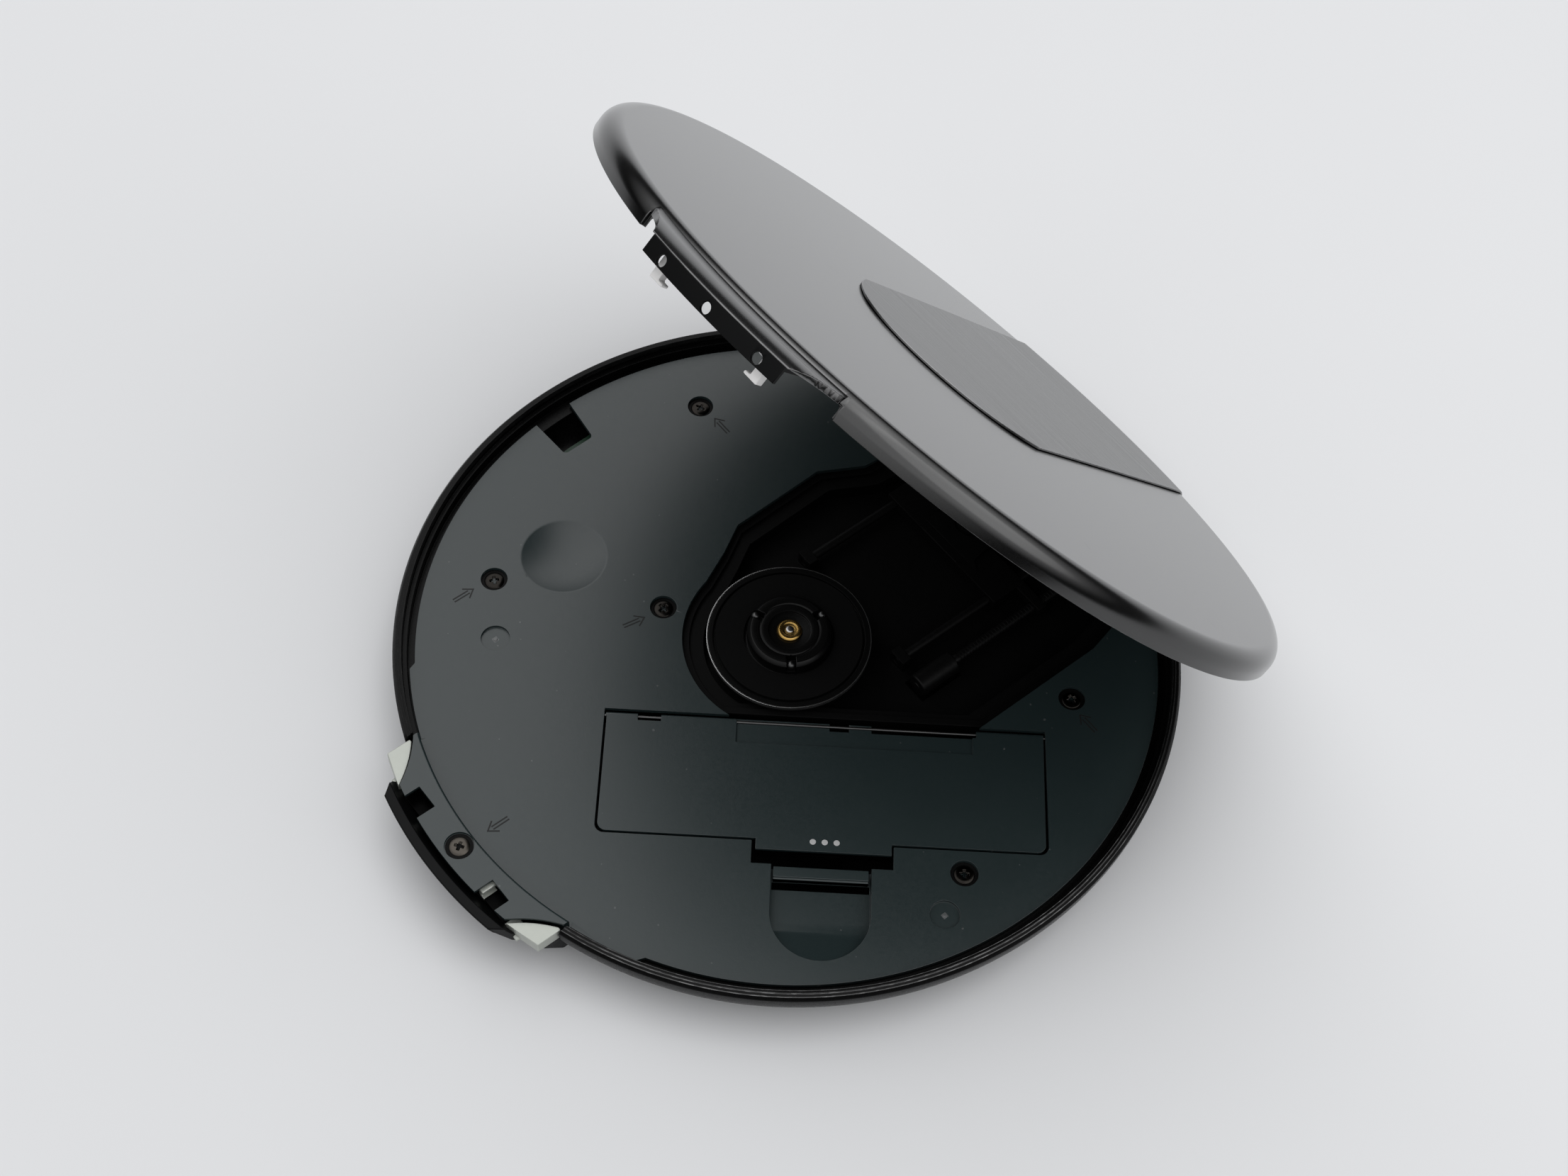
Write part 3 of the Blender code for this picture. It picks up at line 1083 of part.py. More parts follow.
def make_battery_bay():
    """The door with its rod and latch, and the cell between its contacts in the frame."""
    bay = empty("battery_bay", (0, 0, 0), (0, 0, BAY_ANGLE))
    swing = empty("door_hinge", (0, -DOOR_AXIS_V, DOOR_AXIS_HEIGHT), under=bay)
    home = (0, DOOR_AXIS_V, -DOOR_AXIS_HEIGHT)
    low = PLATE_UNDERSIDE - OVERRUN
    high = FLOOR_HEIGHT + OVERRUN
    left, right = DOOR_LEFT + DOOR_GAP, DOOR_RIGHT - DOOR_GAP
    slab = door_outline(DOOR_GAP, DOOR_AXIS_V)
    door = piece("battery_door", plate([slab], PLATE_UNDERSIDE, FLOOR_HEIGHT), SLATE, swing, home)
    join(door, bay_block(TAB_LEFT, TAB_RIGHT, DOOR_OUTER - DOOR_ROUND, TAB_OUTER,
                         PLATE_UNDERSIDE, FLOOR_HEIGHT))
    join(door, rod(DOOR_BARREL_RADIUS, (left, -DOOR_AXIS_V, DOOR_AXIS_HEIGHT),
                   (right, -DOOR_AXIS_V, DOOR_AXIS_HEIGHT), ROD_STEPS))
    join(door, bay_block(HOOK_LEFT, HOOK_RIGHT, HOOK_INNER, HOOK_OUTER,
                         HOOK_BOTTOM, PLATE_UNDERSIDE + SKIN / 2))
    join(door, bay_block(HOOK_LEFT, HOOK_RIGHT, HOOK_INNER, HOOK_NOSE_OUTER,
                         HOOK_BOTTOM, HOOK_NOSE_TOP))
    for start, end in DOOR_KNUCKLES:
        cut(door, bay_block(start, end, DOOR_INNER - DOOR_BARREL_RADIUS,
                            DOOR_AXIS_V + DOOR_BARREL_RADIUS + CLEARANCE, low, high))
    cut(door, bay_block(DOOR_BAND_LEFT, DOOR_BAND_RIGHT, DOOR_INNER - DOOR_BARREL_RADIUS,
                        DOOR_BAND_OUTER, FLOOR_HEIGHT - DOOR_BAND_DEPTH, high))
    for u in DOOR_DOTS:
        cut(door, rod(DOOR_DOT_RADIUS, (u, -DOOR_DOT_V, FLOOR_HEIGHT - DOOR_DOT_DEPTH),
                      (u, -DOOR_DOT_V, high), BORE_STEPS))
    cut(door, rod(DOOR_ROD_RADIUS + RUNNING_GAP, (left - OVERRUN, -DOOR_AXIS_V, DOOR_AXIS_HEIGHT),
                  (right + OVERRUN, -DOOR_AXIS_V, DOOR_AXIS_HEIGHT), BORE_STEPS))
    reach = DOOR_GAP + EAR_LENGTH
    piece("door_hinge_rod", rod(DOOR_ROD_RADIUS, (DOOR_LEFT - reach, -DOOR_AXIS_V, DOOR_AXIS_HEIGHT),
                                (DOOR_RIGHT + reach, -DOOR_AXIS_V, DOOR_AXIS_HEIGHT), BORE_STEPS),
          STEEL, bay)

    slide = empty("latch_slide", (LATCH_LEFT, -LATCH_INNER, LATCH_BOTTOM), under=bay)
    home = (-LATCH_LEFT, LATCH_INNER, -LATCH_BOTTOM)
    latch = piece("battery_latch", bay_block(LATCH_LEFT, LATCH_RIGHT, LATCH_INNER, LATCH_OUTER,
                                             LATCH_BOTTOM, LATCH_TOP), SLATE, slide, home)
    join(latch, bay_block(HOOK_LEFT, HOOK_RIGHT, LATCH_TONGUE_INNER, LATCH_OUTER - LATCH_GRIP,
                          LATCH_BOTTOM, LATCH_TONGUE_TOP))
    cut(latch, bay_block(LATCH_LEFT - OVERRUN, LATCH_RIGHT + OVERRUN, LATCH_OUTER - LATCH_GRIP,
                         LATCH_OUTER + OVERRUN, LATCH_TOP - LATCH_GRIP, LATCH_TOP + OVERRUN))

    half_length, half_width = CELL_LENGTH / 2, CELL_WIDTH / 2
    bottom = INNER_FLOOR + CELL_LIFT
    section = rounded(box_outline(-CELL_CENTRE_V - half_width, half_width - CELL_CENTRE_V,
                                  bottom, bottom + CELL_HEIGHT), CELL_ROUND, BAND_STEPS)
    cell = piece("battery_cell", across(section, CELL_CENTRE_U - half_length,
                                        CELL_CENTRE_U + half_length), STEEL, bay)
    middle = bottom + CELL_HEIGHT / 2
    join(cell, bay_block(CELL_CENTRE_U + half_length - CELL_CAP_LENGTH,
                         CELL_CENTRE_U + half_length + CELL_CAP_LENGTH,
                         CELL_CENTRE_V - CELL_CAP_HALF, CELL_CENTRE_V + CELL_CAP_HALF,
                         middle - CELL_CAP_HALF, middle + CELL_CAP_HALF))
    inner = half_length + CELL_CAP_LENGTH + BAY_END_ROOM
    side = half_width + CLEARANCE
    centre = CELL_CENTRE_U
    outline = box_outline(centre - inner - BAY_WALL, centre + inner + BAY_WALL,
                          -CELL_CENTRE_V - side - BAY_WALL, -CELL_CENTRE_V + side + BAY_WALL)
    room = box_outline(centre - inner, centre + inner, -CELL_CENTRE_V - side,
                       -CELL_CENTRE_V + side)
    piece("battery_frame", plate([outline, room], BAY_FRAME_BOTTOM, BAY_FRAME_TOP), BLACK, bay)
    for sign, name in ((-1, "negative"), (1, "positive")):
        wall = centre + sign * (inner - CLEARANCE)
        bend = [(0, bottom), (0, middle - CONTACT_BULGE), (CONTACT_BULGE, middle),
                (0, middle + CONTACT_BULGE), (0, CONTACT_TOP)]
        front = [(wall - sign * (reach + CONTACT_THICKNESS), z) for reach, z in bend]
        back = [(wall - sign * reach, z) for reach, z in bend]
        places = [Matrix.Translation((0, -CELL_CENTRE_V + shift, 0))
                  for shift in (-CONTACT_HALF, CONTACT_HALF)]
        piece(f"contact_{name}", swept(front + list(reversed(back)), places), BRASS, bay)


def make_chassis():
    """The black tray under the turntable and pickup, with its stepped ledge."""
    outer = well(-CHASSIS_MARGIN, CHASSIS_SIDE_V)
    chassis = piece("mechanism_chassis", plate([outer], CHASSIS_BOTTOM, CHASSIS_TOP), BLACK)
    keep(chassis, rod(CHASSIS_REAR, (0, 0, 0), (0, 0, RIM_HEIGHT), ROUND_STEPS))
    high = CHASSIS_TOP + OVERRUN
    inner = well(CHASSIS_LEDGE, CHASSIS_SIDE_V - CHASSIS_LEDGE + CHASSIS_STEP_WIDTH)
    cut(chassis, plate([inner], CHASSIS_FLOOR_TOP, high))
    step = well(CHASSIS_STEP_WIDTH, CHASSIS_SIDE_V - CHASSIS_STEP_WIDTH)
    cut(chassis, plate([step], CHASSIS_TOP - CHASSIS_STEP, high))
    cut(chassis, block((-NOSE_ROOM_HALF, OPENING_RIGHT_HIGH, CHASSIS_FLOOR_TOP),
                       (NOSE_ROOM_HALF, NOSE_ROOM_REAR, high)))
    cut(chassis, rod(MOTOR_CAN_RADIUS + CLEARANCE, (0, 0, 0), (0, 0, high), PLATE_STEPS))
    cut(chassis, block((SCREW_X - FEED_MOTOR_RADIUS - CLEARANCE, FEED_MOTOR_FRONT - CLEARANCE, 0),
                       (SCREW_X + FEED_MOTOR_RADIUS + CLEARANCE, FEED_MOTOR_REAR + CLEARANCE,
                        high)))
    for x in (ROD_LEFT_X, ROD_RIGHT_X):
        join(chassis, block((x - CHASSIS_POST_HALF, POST_FRONT, CHASSIS_FLOOR_TOP - WALL / 2),
                            (x + CHASSIS_POST_HALF, POST_REAR, CHASSIS_POST_TOP)))
    for x in (ROD_LEFT_X, ROD_RIGHT_X):
        cut(chassis, rod(ROD_RADIUS + RUNNING_GAP, (x, ROD_FRONT - CLEARANCE, ROD_HEIGHT),
                         (x, ROD_REAR + CLEARANCE, ROD_HEIGHT)))
        piece("guide_rod_" + ("left" if x < 0 else "right"),
              rod(ROD_RADIUS, (x, ROD_FRONT, ROD_HEIGHT), (x, ROD_REAR, ROD_HEIGHT)), STEEL)
    cut(chassis, rod(SCREW_RADIUS + RUNNING_GAP, (SCREW_X, OPENING_RIGHT_HIGH, ROD_HEIGHT),
                     (SCREW_X, SCREW_REAR + CLEARANCE, ROD_HEIGHT)))


def make_turntable():
    """Spindle motor, shaft, brass bush, turntable, its mat and the three chucking balls."""
    flange = CHASSIS_FLOOR_TOP + CLEARANCE
    profile = [(0, MOTOR_CAN_BOTTOM), (MOTOR_CAN_RADIUS, MOTOR_CAN_BOTTOM),
               (MOTOR_CAN_RADIUS, flange), (MOTOR_FLANGE_RADIUS, flange),
               (MOTOR_FLANGE_RADIUS, flange + MOTOR_FLANGE_THICKNESS),
               (MOTOR_CAN_RADIUS, flange + MOTOR_FLANGE_THICKNESS),
               (MOTOR_CAN_RADIUS, MOTOR_CAN_TOP), (MOTOR_NECK_RADIUS, MOTOR_CAN_TOP),
               (MOTOR_NECK_RADIUS, MOTOR_NECK_TOP),
               (SHAFT_RADIUS + RUNNING_GAP, MOTOR_NECK_TOP),
               (SHAFT_RADIUS + RUNNING_GAP, MOTOR_BORE_BOTTOM), (0, MOTOR_BORE_BOTTOM)]
    piece("spindle_motor", turned(profile, TABLE_STEPS), STEEL)
    piece("spindle_shaft", rod(SHAFT_RADIUS, (0, 0, SHAFT_BOTTOM), (0, 0, SHAFT_TOP)), STEEL)
    bore = SHAFT_RADIUS + RUNNING_GAP
    profile = [(bore, BUSH_BOTTOM), (BUSH_RADIUS, BUSH_BOTTOM),
               (BUSH_RADIUS, BUSH_TOP - BUSH_CHAMFER), (BUSH_RADIUS - BUSH_CHAMFER, BUSH_TOP),
               (bore, BUSH_TOP)]
    piece("spindle_bush", turned(profile, SMALL_TURN_STEPS), BRASS)
    bore = BUSH_RADIUS + RUNNING_GAP
    sunk = HUB_TOP - HUB_RECESS_DEPTH
    profile = [(bore, TURNTABLE_BOTTOM), (TURNTABLE_RADIUS, TURNTABLE_BOTTOM),
               (TURNTABLE_RADIUS, TURNTABLE_TOP), (TURNTABLE_RING_INNER, TURNTABLE_TOP),
               (TURNTABLE_RING_INNER, TURNTABLE_WEB_TOP), (HUB_RADIUS, TURNTABLE_WEB_TOP),
               (HUB_RADIUS, HUB_TOP - HUB_CHAMFER), (HUB_RADIUS - HUB_CHAMFER, HUB_TOP),
               (HUB_RECESS_RADIUS, HUB_TOP), (HUB_RECESS_RADIUS, sunk), (bore, sunk)]
    table = piece("turntable", turned(profile, TABLE_STEPS), STEEL)
    mat = TURNTABLE_WEB_TOP + CLEARANCE
    profile = [(MAT_INNER, mat), (MAT_OUTER, mat), (MAT_OUTER, mat + MAT_THICKNESS),
               (MAT_INNER, mat + MAT_THICKNESS)]
    piece("turntable_mat", turned(profile, TABLE_STEPS), RUBBER)
    inner = BALL_CIRCLE - BALL_RADIUS - BALL_TRAVEL - BALL_SLOT_ROOM
    for angle in BALL_ANGLES:
        slot = block((inner, -BALL_SLOT_HALF, BALL_SLOT_FLOOR),
                     (HUB_RADIUS + OVERRUN, BALL_SLOT_HALF, HUB_TOP + OVERRUN))
        slot.transform(Matrix.Rotation(radians(angle), 4, "Z"))
        cut(table, slot)
        centre = (BALL_CIRCLE * cos(radians(angle)), BALL_CIRCLE * sin(radians(angle)),
                  BALL_HEIGHT)
        piece(f"chucking_ball_{angle:03d}", ball((0, 0, 0), BALL_RADIUS, BALL_STEPS), STEEL,
              place=centre)


def make_pickup():
    """The sled on its rods with cover, lens holder and lens, and the feed motor and screw."""
    slide = empty("sled_slide", (0, LENS_Y, ROD_HEIGHT))
    home = (0, -LENS_Y, -ROD_HEIGHT)
    front = LENS_Y - SLED_FRONT
    wing = LENS_Y - SLED_WING_REAR
    sled = piece("pickup_sled", block((-SLED_NOSE_HALF, front, SLED_BOTTOM),
                                      (SLED_NOSE_HALF, LENS_Y + SLED_NOSE_REAR, SLED_TOP)),
                 BLACK, slide, home)
    join(sled, block((ROD_LEFT_X - SLED_EDGE, front, SLED_BOTTOM + CLEARANCE / 2),
                     (ROD_RIGHT_X + SLED_EDGE, wing, SLED_TOP - CLEARANCE / 2)))
    join(sled, block((ROD_RIGHT_X, wing - NUT_HALF, SLED_BOTTOM + CLEARANCE),
                     (SCREW_X + SLED_EDGE, wing, SLED_TOP - CLEARANCE)))
    for x in (ROD_LEFT_X, ROD_RIGHT_X):
        cut(sled, rod(ROD_RADIUS + RUNNING_GAP, (x, front - OVERRUN, ROD_HEIGHT),
                      (x, wing + OVERRUN, ROD_HEIGHT)))
    cut(sled, rod(SCREW_RADIUS + NUT_GAP, (SCREW_X, front, ROD_HEIGHT),
                  (SCREW_X, wing + OVERRUN, ROD_HEIGHT)))
    rear = LENS_Y + SLED_COVER_REAR
    outline = [(SLED_COVER_LEFT, SLED_COVER_FRONT), (SLED_COVER_RIGHT, SLED_COVER_FRONT),
               SLED_COVER_ELBOW, (SLED_COVER_NECK, SLED_COVER_NECK_Y), (SLED_COVER_NECK, rear),
               (SLED_COVER_LEFT, rear)]
    cover = piece("pickup_cover", plate([outline], SLED_COVER_BOTTOM, SLED_COVER_TOP),
                  STEEL, slide, home)
    cut(cover, rod(LENS_HOLE_RADIUS, (0, LENS_Y, SLED_BOTTOM), (0, LENS_Y, LENS_TOP), CIRCLE_STEPS))
    focus = empty("lens_focus", (0, 0, 0), under=slide)
    holder = [(0, LENS_BOTTOM), (LENS_HOLDER_RADIUS, LENS_BOTTOM),
              (LENS_HOLDER_RADIUS, LENS_HOLDER_TOP), (LENS_BORE_RADIUS, LENS_HOLDER_TOP),
              (LENS_BORE_RADIUS, LENS_BOTTOM + LENS_HOLDER_FLOOR),
              (0, LENS_BOTTOM + LENS_HOLDER_FLOOR)]
    home = (0, 0, -ROD_HEIGHT)
    piece("lens_holder", turned(holder, SMALL_TURN_STEPS), BLACK, focus, home)
    seat = LENS_BOTTOM + LENS_HOLDER_FLOOR + LENS_SEAT
    lens = [(0, seat), (LENS_RADIUS, seat), (LENS_RADIUS, LENS_TOP - LENS_EDGE_DROP)]
    for index in range(1, LENS_STEPS):
        share = index / LENS_STEPS
        lens.append((LENS_RADIUS * cos(pi / 2 * share),
                     LENS_TOP - LENS_EDGE_DROP * (1 - sin(pi / 2 * share))))
    lens.append((0, LENS_TOP))
    piece("objective_lens", turned(lens, SMALL_TURN_STEPS), GLASS, focus, home)

    motor = piece("feed_motor", rod(FEED_MOTOR_RADIUS, (SCREW_X, FEED_MOTOR_FRONT, ROD_HEIGHT),
                                    (SCREW_X, FEED_MOTOR_REAR, ROD_HEIGHT), CIRCLE_STEPS), STEEL)
    cut(motor, rod(SCREW_RADIUS + RUNNING_GAP, (SCREW_X, FEED_MOTOR_REAR - OVERRUN, ROD_HEIGHT),
                   (SCREW_X, FEED_MOTOR_REAR + OVERRUN, ROD_HEIGHT)))
    middle = (SCREW_X, FEED_MOTOR_REAR, ROD_HEIGHT)
    start = (0, CLEARANCE - OVERRUN, 0)
    piece("lead_screw", rod(SCREW_RADIUS, start, (0, SCREW_REAR - FEED_MOTOR_REAR, 0)), STEEL,
          place=middle)


def make_electronics():
    """The circuit board and its chips, the jacks, the button board, buttons and hold switch."""
    left = degrees(acos(BOARD_INNER_X / BOARD_RADIUS))
    outline = arc(0, 0, BOARD_RADIUS, HALF_TURN - left, HALF_TURN + left, RING_STEPS)
    board = piece("circuit_board", plate([outline], BOARD_BOTTOM, BOARD_TOP), BOARD)
    keep(board, block((-BODY_RADIUS, -BOARD_FRONT_Y, 0), (0, BOARD_REAR_Y, RIM_HEIGHT)))
    for x, y in SCREW_PLACES[:BOARD_BOSSES]:
        cut(board, rod(BOSS_RADIUS + CLEARANCE, (x, y, 0), (x, y, RIM_HEIGHT)))
    for (x, y), (width, depth) in zip(CHIP_PLACES, CHIP_SIZES):
        join(board, block((x - width / 2, y - depth / 2, BOARD_TOP - CHIP_SINK),
                          (x + width / 2, y + depth / 2, CHIP_TOP)))
    names = ("headphone_jack", "power_jack")
    bores = (JACK_BORE_RADIUS, DC_BORE_RADIUS)
    for name, bore, angle in zip(names, bores, JACK_ANGLES):
        turn = Matrix.Rotation(radians(angle), 4, "Z")
        room = block((JACK_BODY_INNER - CLEARANCE, -JACK_BODY_HALF - CLEARANCE, 0),
                     (BODY_RADIUS, JACK_BODY_HALF + CLEARANCE, RIM_HEIGHT))
        room.transform(turn)
        cut(board, room)
        low = (JACK_BODY_INNER, -JACK_BODY_HALF, JACK_BODY_BOTTOM)
        body = block(low, (JACK_BODY_OUTER, JACK_BODY_HALF, JACK_BODY_TOP))
        body.transform(turn)
        jack = piece(name, body, BLACK)
        collar = rod(JACK_COLLAR_RADIUS, (JACK_BODY_INNER + WALL, 0, JACK_HEIGHT),
                     (JACK_COLLAR_OUTER, 0, JACK_HEIGHT))
        collar.transform(turn)
        join(jack, collar)
        hole = rod(bore, (JACK_BORE_END, 0, JACK_HEIGHT), (BODY_RADIUS, 0, JACK_HEIGHT))
        hole.transform(turn)
        cut(jack, hole)
        if name == "power_jack":
            pin = rod(DC_PIN_RADIUS, (JACK_BORE_END - WALL / 2, 0, JACK_HEIGHT),
                      (DC_PIN_OUTER, 0, JACK_HEIGHT), BORE_STEPS)
            pin.transform(turn)
            join(jack, pin)

    section = [(SWITCH_BOARD_INNER, SWITCH_BOARD_BOTTOM), (SWITCH_BOARD_OUTER, SWITCH_BOARD_BOTTOM),
               (SWITCH_BOARD_OUTER, SWITCH_BOARD_TOP), (SWITCH_BOARD_INNER, SWITCH_BOARD_TOP)]
    start, end = [radians(angle) for angle in SWITCH_BOARD_ANGLES]
    switches = piece("switch_board", sector(section, start, end, FILLET_STEPS), BOARD)
    middle = (BUTTON_BOTTOM + BUTTON_TOP) / 2
    dome = [(SWITCH_BOARD_INNER + CLEARANCE, BUTTON_BOTTOM), (SWITCH_DOME_OUTER - CLEARANCE,
                                                              BUTTON_BOTTOM),
            (SWITCH_DOME_OUTER, middle), (SWITCH_DOME_OUTER - CLEARANCE, BUTTON_TOP - CLEARANCE),
            (SWITCH_BOARD_INNER + CLEARANCE, BUTTON_TOP - CLEARANCE)]
    for angle in BUTTON_ANGLES:
        join(switches, sector(dome, radians(angle) - SWITCH_DOME_HALF,
                              radians(angle) + SWITCH_DOME_HALF, 2))
        cap = [(BUTTON_INNER_RADIUS, BUTTON_BOTTOM)]
        for height in (BUTTON_BOTTOM, middle, BUTTON_TOP):
            cap.append((bowl_radius(height) + BUTTON_PROUD, height))
        cap.append((BUTTON_INNER_RADIUS, BUTTON_TOP))
        piece(f"button_{angle:03d}", sector(cap, radians(angle) - BUTTON_HALF_ANGLE,
                                            radians(angle) + BUTTON_HALF_ANGLE, BAND_STEPS), BLACK)
    middle = (HOLD_BOTTOM + HOLD_TOP) / 2
    cap = [(HOLD_INNER_RADIUS, HOLD_BOTTOM)]
    for height in (HOLD_BOTTOM, middle, HOLD_TOP):
        cap.append((bowl_radius(height) + HOLD_PROUD, height))
    cap.append((HOLD_INNER_RADIUS, HOLD_TOP))
    hold = piece("hold_switch", sector(cap, radians(HOLD_ANGLE) - HOLD_HALF_ANGLE,
                                       radians(HOLD_ANGLE) + HOLD_HALF_ANGLE, BAND_STEPS), BLACK)
    for index in range(HOLD_RIBS):
        angle = radians(HOLD_ANGLE) + HOLD_HALF_ANGLE * ((index + 1) * 2 / (HOLD_RIBS + 1) - 1)
        depth = bowl_radius(middle) + HOLD_PROUD - HOLD_RIB_DEPTH
        groove = [(depth, HOLD_BOTTOM - OVERRUN), (BODY_RADIUS + OVERRUN, HOLD_BOTTOM - OVERRUN),
                  (BODY_RADIUS + OVERRUN, HOLD_TOP + OVERRUN), (depth, HOLD_TOP + OVERRUN)]
        half = HOLD_HALF_ANGLE * HOLD_GROOVE_SHARE
        cut(hold, sector(groove, angle - half, angle + half, 1))


make_base()
make_floor_plate()
make_front_block()
make_lid()
make_hinge_pin()
make_battery_bay()
make_chassis()
make_turntable()
make_pickup()
make_electronics()
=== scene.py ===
# %% [markdown]
# # A portable CD player with its lid open
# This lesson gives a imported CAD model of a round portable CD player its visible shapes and
# finishes. The CAD nodes come in as a fixed frame. Each cell rebuilds one piece of the player
# in place, lets it ride on the moving body that it belongs to, and gives it a node material.

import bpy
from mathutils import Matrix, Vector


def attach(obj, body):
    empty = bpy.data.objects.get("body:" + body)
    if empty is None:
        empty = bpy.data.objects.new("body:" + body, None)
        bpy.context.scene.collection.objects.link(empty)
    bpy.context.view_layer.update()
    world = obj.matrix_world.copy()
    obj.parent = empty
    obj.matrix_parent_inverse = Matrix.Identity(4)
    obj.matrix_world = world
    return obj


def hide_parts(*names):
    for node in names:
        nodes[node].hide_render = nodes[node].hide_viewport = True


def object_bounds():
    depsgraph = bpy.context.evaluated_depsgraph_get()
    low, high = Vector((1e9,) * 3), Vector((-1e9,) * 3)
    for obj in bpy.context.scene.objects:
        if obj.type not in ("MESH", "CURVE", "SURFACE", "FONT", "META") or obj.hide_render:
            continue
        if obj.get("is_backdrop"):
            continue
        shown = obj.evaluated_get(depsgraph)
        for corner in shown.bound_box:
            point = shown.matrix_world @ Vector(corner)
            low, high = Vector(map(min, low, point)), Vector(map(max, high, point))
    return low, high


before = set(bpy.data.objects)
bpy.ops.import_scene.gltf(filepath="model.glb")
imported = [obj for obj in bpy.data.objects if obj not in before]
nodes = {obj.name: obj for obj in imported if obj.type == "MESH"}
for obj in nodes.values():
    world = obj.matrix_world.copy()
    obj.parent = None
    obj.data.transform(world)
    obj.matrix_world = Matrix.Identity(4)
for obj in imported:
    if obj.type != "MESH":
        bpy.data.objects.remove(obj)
cad_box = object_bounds()

# %% Modules and units
from math import acos, asin, atan2, cos, degrees, pi, radians, sin, sqrt, tau

import bmesh
import bpy
from mathutils import Matrix, Vector

MM = 0.001
MERGE = 0.002 * MM

# %% [markdown]
# Everything below is written in millimetres and turned into metres by the helpers. A helper
# first lets go of whatever is selected, because an operator works on all that is selected.

# %% Selecting and naming pieces
def let_go():
    """Leave edit mode with nothing selected."""
    if bpy.context.mode != "OBJECT":
        bpy.ops.object.mode_set(mode="OBJECT")
    bpy.ops.object.select_all(action="DESELECT")


def hold(thing):
    """Select one object and make it the active one."""
    let_go()
    thing.select_set(True)
    bpy.context.view_layer.objects.active = thing


def edit(thing):
    """Open one object in edit mode with all of it selected."""
    hold(thing)
    bpy.ops.object.mode_set(mode="EDIT")
    bpy.ops.mesh.select_mode(type="VERT")
    bpy.ops.mesh.select_all(action="SELECT")


def called(thing, name):
    """Give an object and its mesh one name."""
    thing.name = thing.data.name = name
    return thing


def turn_outwards(thing):
    """Weld doubled corners and point every face out."""
    edit(thing)
    bpy.ops.mesh.remove_doubles(threshold=MERGE)
    bpy.ops.mesh.normals_make_consistent(inside=False)
    let_go()


let_go()
print("nothing is selected now:", len(bpy.context.selected_objects))

# %% [markdown]
# Nearly every part of the player is either turned about an axis or punched from a flat
# outline. Both start as one corner that is extruded along a line of places. Spinning that
# line gives the round parts, and filling and extruding it gives the flat ones. This is how
# one would draw them by hand, and it keeps each outline true to its measurements. A finished
# piece is turned or shifted as a whole, and its object stays at the origin.

# %% Places, and turning or moving a finished mesh
def heading(angle):
    """The level way at an angle from +X, in degrees."""
    return Vector((cos(radians(angle)), sin(radians(angle)), 0))


def leaned(way):
    """The turn that takes +Z to a way."""
    return Vector((0, 0, 1)).rotation_difference(Vector(way)).to_matrix().to_4x4()


def spun(angle):
    """A turn about +Z, in degrees."""
    return Matrix.Rotation(radians(angle), 4, "Z")


def shift(place):
    """A move to a place in millimetres."""
    return Matrix.Translation(Vector(place) * MM)


def moved(thing, matrix):
    """Turn or shift a finished piece, and put its new place into its mesh."""
    thing.matrix_world = matrix
    hold(thing)
    bpy.ops.object.transform_apply(location=True, rotation=True, scale=True)
    let_go()
    return thing


def twin(pattern, name, matrix):
    """Another of a finished piece in a place of its own, with a mesh of its own."""
    made = pattern.copy()
    made.data = pattern.data.copy()
    bpy.context.scene.collection.objects.link(made)
    return moved(called(made, name), matrix)


print("a quarter turn takes +X to", spun(90) @ heading(0))

# %% Drawing a line, then turning or thickening it
def drawn(name, places, closed=True):
    """A line through places (mm), made by extruding a single corner; left in edit mode."""
    let_go()
    bpy.ops.mesh.primitive_plane_add(size=MM)
    line = called(bpy.context.object, name)
    edit(line)
    bpy.ops.mesh.merge(type="CENTER")
    bpy.ops.transform.translate(value=Vector(places[0]) * MM)
    for before, after in zip(places, places[1:]):
        step = (Vector(after) - Vector(before)) * MM
        bpy.ops.mesh.extrude_region_move(TRANSFORM_OT_translate={"value": step})
    if closed:
        bpy.ops.object.mode_set(mode="OBJECT")
        bpy.ops.object.mode_set(mode="EDIT")
        shape = bmesh.from_edit_mesh(line.data)
        for corner in shape.verts:
            corner.select_set(len(corner.link_edges) == 1)
        bmesh.update_edit_mesh(line.data)
        bpy.ops.mesh.edge_face_add()
    bpy.ops.mesh.select_all(action="SELECT")
    return line


def turned(name, profile, steps=192, start=0.0, end=360.0):
    """A profile (radius, height) spun about the player's axis, a full turn or part of one."""
    places = [heading(start) * radius + Vector((0, 0, height)) for radius, height in profile]
    on_axis = profile[0][0] == 0 and profile[-1][0] == 0
    made = drawn(name, places, closed=not on_axis)
    bpy.ops.mesh.spin(steps=steps, angle=radians(start - end), center=(0, 0, 0),
                      axis=(0, 0, 1))
    bpy.ops.mesh.select_all(action="SELECT")
    bpy.ops.mesh.remove_doubles(threshold=MERGE)
    if end - start < 360:
        bpy.ops.mesh.fill_holes(sides=0)
    turn_outwards(made)
    return made


def thickened(name, places, push):
    """A flat outline through 3-D places, filled and pushed into a solid."""
    made = drawn(name, places)
    bpy.ops.mesh.edge_face_add()
    bpy.ops.mesh.select_all(action="SELECT")
    bpy.ops.mesh.extrude_region_move(TRANSFORM_OT_translate={"value": Vector(push) * MM})
    turn_outwards(made)
    return made


def slab(name, outline, bottom, top):
    """A flat plate from an outline seen from above."""
    return thickened(name, [(x, y, bottom) for x, y in outline], (0, 0, top - bottom))


